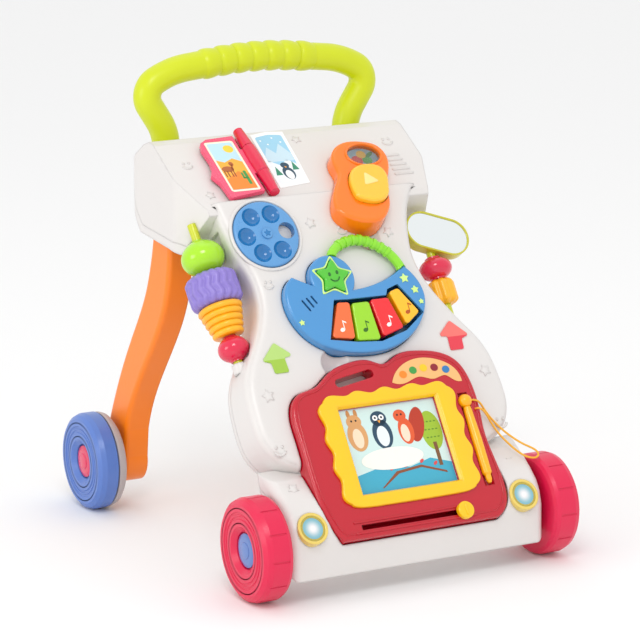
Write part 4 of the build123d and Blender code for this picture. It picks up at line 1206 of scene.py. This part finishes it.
# ---- drawing board ------------------------------------------------------------------------------
@dataclass(frozen=True)
class Frame:
    """Yellow frame with waves along its left, top and right sides."""

    centre: Point = (-1.0, -3.0)
    window: Point = (106.0, 86.0)
    half: Point = (73.0, 56.0)
    wave: float = 4.0
    steps: int = 360

    def outline(self) -> tuple[list[Point], list[Point]]:
        """Outer wavy outline and inner rectangle, point for point."""
        outer, inner = [], []
        (cu, cv), (a, b) = self.centre, self.half
        w, h = self.window[0] / 2, self.window[1] / 2
        for k in range(self.steps):
            angle = 2 * math.pi * k / self.steps
            c, s = math.cos(angle), math.sin(angle)
            round_box = (abs(c / a) ** 9 + abs(s / b) ** 9) ** (-1 / 9)
            x, y = round_box * c, round_box * s
            if abs(x) / a > abs(y) / b:
                push = 0.5 + 0.5 * math.cos(2 * math.pi * 4 * (y + b) / (2 * b) + math.pi)
            elif y > 0:
                push = 0.5 + 0.5 * math.cos(2 * math.pi * 5 * (x + a) / (2 * a) + math.pi)
            else:
                push = 0.4
            grow = 1 + self.wave * (push - 0.2) / math.hypot(x, y)
            outer.append((cu + x * grow, cv + y * grow))
            reach = min(w / max(abs(c), 1e-9), h / max(abs(s), 1e-9))
            ix, iy = reach * c, reach * s
            if abs(ix) > w - 1.2 and abs(iy) > h - 1.2:
                ix, iy = math.copysign(w, ix), math.copysign(h, iy)
            inner.append((cu + ix, cv + iy))
        return outer, inner

    def build(self) -> None:
        """Build the frame with a bevelled inner lip."""
        outer, inner = self.outline()
        (cu, cv), (w, h) = self.centre, self.window
        flare = [(cu + (x - cu) * (w + 5) / w, cv + (y - cv) * (h + 5) / h) for x, y in inner]
        mesh = bmesh.new()
        band(mesh, outer, inner, PANEL.place(), 8.0, 12.0, 1.1, flare)
        bmesh.ops.dissolve_degenerate(mesh, edges=mesh.edges, dist=1e-6)
        show("board_wavy_frame", mesh, "board", [FRAME_YELLOW], ("board_frame",), 40)


@dataclass(frozen=True)
class Board:
    """Crimson drawing board with its frame, print, palette, eraser, pen and cord."""

    outline: tuple[Point, ...] = (
        (-86, -88), (-94, -76), (-102, -40), (-103, 20), (-100, 50), (-91, 61), (-72, 66), (-50, 80),
        (-25, 87), (-4, 86), (8, 81), (26, 88), (50, 90), (74, 85), (90, 74), (98, 54), (99, 20), (97, 0),
        (101, -50), (97, -76), (84, -88),
    )
    slide_u: tuple[float, float] = (-61.0, 47.0)
    slide_v: float = -77.5
    rail_gap: float = 5.4

    def build(self) -> None:
        """Build everything on the board."""
        paint(board_body=BOARD_RED, eraser_slider=FRAME_YELLOW, stylus=PEN_ORANGE,
              board_palette=PALETTE_PEACH, board_screen=Print("ink_screen_ground", "#D9EDE6", 0.3))
        Frame().build()
        self.rails()
        self.dots()
        self.scene_print()

    def rails(self) -> None:
        """Raised rim line and the ridges beside the eraser's track."""
        low, high = self.slide_u
        bars = [box_outline((low + high) / 2, self.slide_v + side * self.rail_gap, high - low + 24, 2.0, 0.9)
                for side in (-1, 1)]
        relief("eraser_rails", bars, PANEL.place(), (7.6, 9.2), 0.5, "board", BOARD_RED)
        grip = box_outline(high, self.slide_v, 2.2, 11, 1.0)
        relief("eraser_ridge", [grip], PANEL.place(), (13.8, 15.0), 0.4, "eraser",
               FRAME_YELLOW)
        rounds = []
        count = len(self.outline)
        for k in range(count - 1):
            p0, p1, p2, p3 = [Vector(self.outline[max(0, min(count - 1, k + d))]) for d in (-1, 0, 1, 2)]
            for j in range(6):
                t = j / 6
                spot = 0.5 * ((2 * p1) + (p2 - p0) * t + (2 * p0 - 5 * p1 + 4 * p2 - p3) * t ** 2
                              + (3 * p1 - p0 - 3 * p2 + p3) * t ** 3)
                rounds.append(PANEL.at(spot.x * 0.955, spot.y * 0.945 + 0.4, 7.9))
        line = piped([rounds], 0.9, 3, closed=True)
        show("board_rim_line", line, "board", [BOARD_RED], (), 60)

    def dots(self) -> None:
        """Five colour dots of the palette."""
        row = Picture("palette_dots", PANEL, 8.2, "board", "palette_peach")
        for (u, v), ink in (((26, 66.5), "#F28A24"), ((38, 69.5), "#3E9B45"), ((50, 70.5), "#F6C821"),
                            ((62, 69.5), "#8E1B2C"), ((74, 66.0), "#2E79B8")):
            row.lay(ellipse(u, v, 4.1, 3.8), ink, 6)
        row.build()

    def scene_print(self) -> None:
        """Picture behind the screen: a pond, trees, three animals and a blank plate."""
        art = Picture("screen_print", PANEL, 5.0, "board", "screen_print")
        for level, ink, loop in (
            (0, "#CFE8E4", box_outline(-1, -3, 105.6, 85.6)),
            (1, "#3FA9C6", [(-53.8, -45.8), (51.8, -45.8), (51.8, -26), (30, -19), (6, -25), (-20, -20),
             (-53.8, -27)]),
            (1, "#9CBF2F", ellipse(40, 8, 11.5, 20)),
            (2, "#7A5230", box_outline(40, -16, 4, 24)),
        ):
            art.lay(loop, ink, level)
        for k in range(12):
            art.lay(box_outline(34 + 4 * (k % 4), 1 + 8 * (k // 4), 2.4, 1.2, 0.5), "#5F8A1E", 3)
        art.lay(ellipse(-10, -14, 34, 11), "#F6F3EA", 8)
        # A tan hare, a dark blue owl and a red squirrel.
        for level, ink, loop in (
            (5, "#D9A066", ellipse(-40, 12, 10.5, 15)),
            (6, "#D9A066", ellipse(-40, 27, 8, 7)),
        ):
            art.lay(loop, ink, level)
        for u in (-44, -36):
            art.lay(ellipse(u, 35.0, 2.0, 4.4), "#C98B4E", 5)
        for level, ink, loop in (
            (7, "#F3DDBF", ellipse(-40, 10, 5.6, 10)),
            (5, "#24475F", ellipse(-13, 11, 10.5, 15)),
            (5, "#24475F", ellipse(-13, 27, 8.6, 7.6)),
            (6, "#E8F0F2", ellipse(-13, 9, 6.4, 10.4)),
        ):
            art.lay(loop, ink, level)
        for u in (-16.4, -9.6):
            art.lay(ellipse(u, 28, 2.8, 2.8), "#FFFFFF", 6)
            art.lay(ellipse(u, 28, 1.2, 1.2, steps=12), "#14222C", 7)
        for level, ink, loop in (
            (7, "#F2A43A", [(-14.6, 25.2), (-11.4, 25.2), (-13, 22)]),
            (4, "#B9351A", ellipse(26, 16, 8.4, 18, -16)),
            (5, "#E25A2B", ellipse(13, 11, 8.2, 13.5)),
            (6, "#E25A2B", ellipse(10.4, 27, 6.8, 6.2)),
            (7, "#F6DCC4", ellipse(11.6, 9, 4.6, 9)),
        ):
            art.lay(loop, ink, level)
        for u in (-42.4, -37.6, 8.2, 12.4):
            art.lay(ellipse(u, 28.0, 1.0, 1.1, steps=12), "#241A14", 8)
        branch = [(-30, -42), (-28, -42), (-8, -30), (18, -27), (44, -36), (44, -34), (18, -24.6),
                  (-10, -27.5)]
        art.lay(branch, "#8A4B2A", 5)
        for u, v in ((-14, -24), (2, -23), (20, -21), (34, -25)):
            art.lay(ellipse(u, v, 2.6, 1.5, 40), "#D94C4C", 6)
        art.build()


@dataclass(frozen=True)
class PenCord:
    """Soft string from the pen's head back to the board, hanging free."""

    diameter: float = 0.002
    length: float = 0.178
    route: tuple = (
        (90.9, 31, 9.4), (95.2, 30.4, 10.2), (99.3, 27.1, 9.9), (103, 21.5, 7.0), (108.6, 13.6, 3.6),
        (115, 4.5, 2.4), (121.5, -4.5, 2.8), (129, -13, 3.6), (136.5, -19.6, 4.2), (142.6, -23.8, 5.0),
        (147.2, -28.3, 6.4), (147.6, -33.4, 8.0), (143.2, -36.4, 8.4), (137, -35.2, 7.6),
        (130.6, -30.8, 6.2), (124.5, -23.5, 5), (118.5, -14, 3.8), (113, -4, 3), (108.4, 6, 4.2),
        (104, 13.2, 8.0), (100, 17.8, 11.2), (96.2, 20.6, 12.0), (93.8, 21.8, 10.4), (93.2, 22, 8.0),
    )

    def build(self) -> None:
        """Lay the string along its route."""
        line = bpy.data.curves.new("pen_string", "CURVE")
        line.dimensions = "3D"
        line.bevel_depth = self.diameter / 2
        line.bevel_resolution = 4
        line.use_fill_caps = True
        spline = line.splines.new("NURBS")
        spline.points.add(len(self.route) - 1)
        for point, (u, v, h) in zip(spline.points, self.route):
            point.co = (*PANEL.at(u, v, h), 1)
        spline.order_u = 3
        spline.use_endpoint_u = True
        spline.resolution_u = 8
        string = bpy.data.objects.new("pen_string", line)
        bpy.context.scene.collection.objects.link(string)
        line.materials.append(Paints.of(STRING))
        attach(string, "board")
        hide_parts("pen_cord")


# ---- studio -------------------------------------------------------------------------------------
@dataclass(frozen=True)
class Studio:
    """Pale floor, soft lights and the camera."""

    eye: tuple[float, float, float] = (-1.408, -2.554, 0.885)
    right: tuple[float, float, float] = (0.87441, -0.48518, -0.00108)
    up: tuple[float, float, float] = (0.10939, 0.19496, 0.97469)
    back: tuple[float, float, float] = (-0.47269, -0.85240, 0.22355)
    lens: float = 168.75

    def build(self) -> None:
        """Build the studio."""
        scene = bpy.context.scene
        eye = bpy.data.cameras.new("camera")
        eye.lens = self.lens
        eye.sensor_width = 36.0
        camera = bpy.data.objects.new("camera", eye)
        axes = Matrix((self.right, self.up, self.back)).transposed().to_4x4()
        camera.matrix_world = Matrix.Translation(self.eye) @ axes
        scene.collection.objects.link(camera)
        scene.camera = camera
        mesh = bmesh.new()
        slab(mesh, box_outline(0, 0, 60000, 60000), Matrix.Identity(4), -20, 0)
        floor = bpy.data.meshes.new("floor")
        mesh.to_mesh(floor)
        mesh.free()
        floor.materials.append(Paints.of(STUDIO_PAPER))
        ground = bpy.data.objects.new("floor", floor)
        scene.collection.objects.link(ground)
        world = bpy.data.worlds.new("studio")
        world.use_nodes = True
        world.node_tree.nodes["Background"].inputs["Color"].default_value = (1.0, 1.0, 1.0, 1.0)
        world.node_tree.nodes["Background"].inputs["Strength"].default_value = 0.98
        scene.world = world
        scene.view_settings.view_transform = "Standard"
        for name, spot, size, power in (("key", (-0.9, -1.5, 2.1), 0.9, 13),
                                        ("side", (-2.3, -0.3, 0.8), 1.0, 7),
                                        ("top", (0.2, 0.6, 2.4), 1.6, 2)):
            data = bpy.data.lights.new(name, "AREA")
            data.shape = "DISK"
            data.size = size
            data.energy = power
            lamp = bpy.data.objects.new(name, data)
            lamp.location = spot
            aim = Vector((0, 0, 0.22)) - Vector(spot)
            lamp.rotation_euler = aim.to_track_quat("-Z", "Y").to_euler()
            scene.collection.objects.link(lamp)


def main() -> None:
    """Build the walker, part by part, and the studio round it."""
    Body().build()
    Handle().build()
    for axle in Axle:
        for side in Side:
            Wheel(side, axle).build()
    Lamps().build()
    Dial().build()
    PushToy().build()
    Book().build()
    Beads().build()
    Piano().build()
    Board().build()
    PenCord().build()
    Studio().build()


if __name__ == "__main__":
    logging.basicConfig(level=logging.INFO, format="%(name)s: %(message)s")
    main()
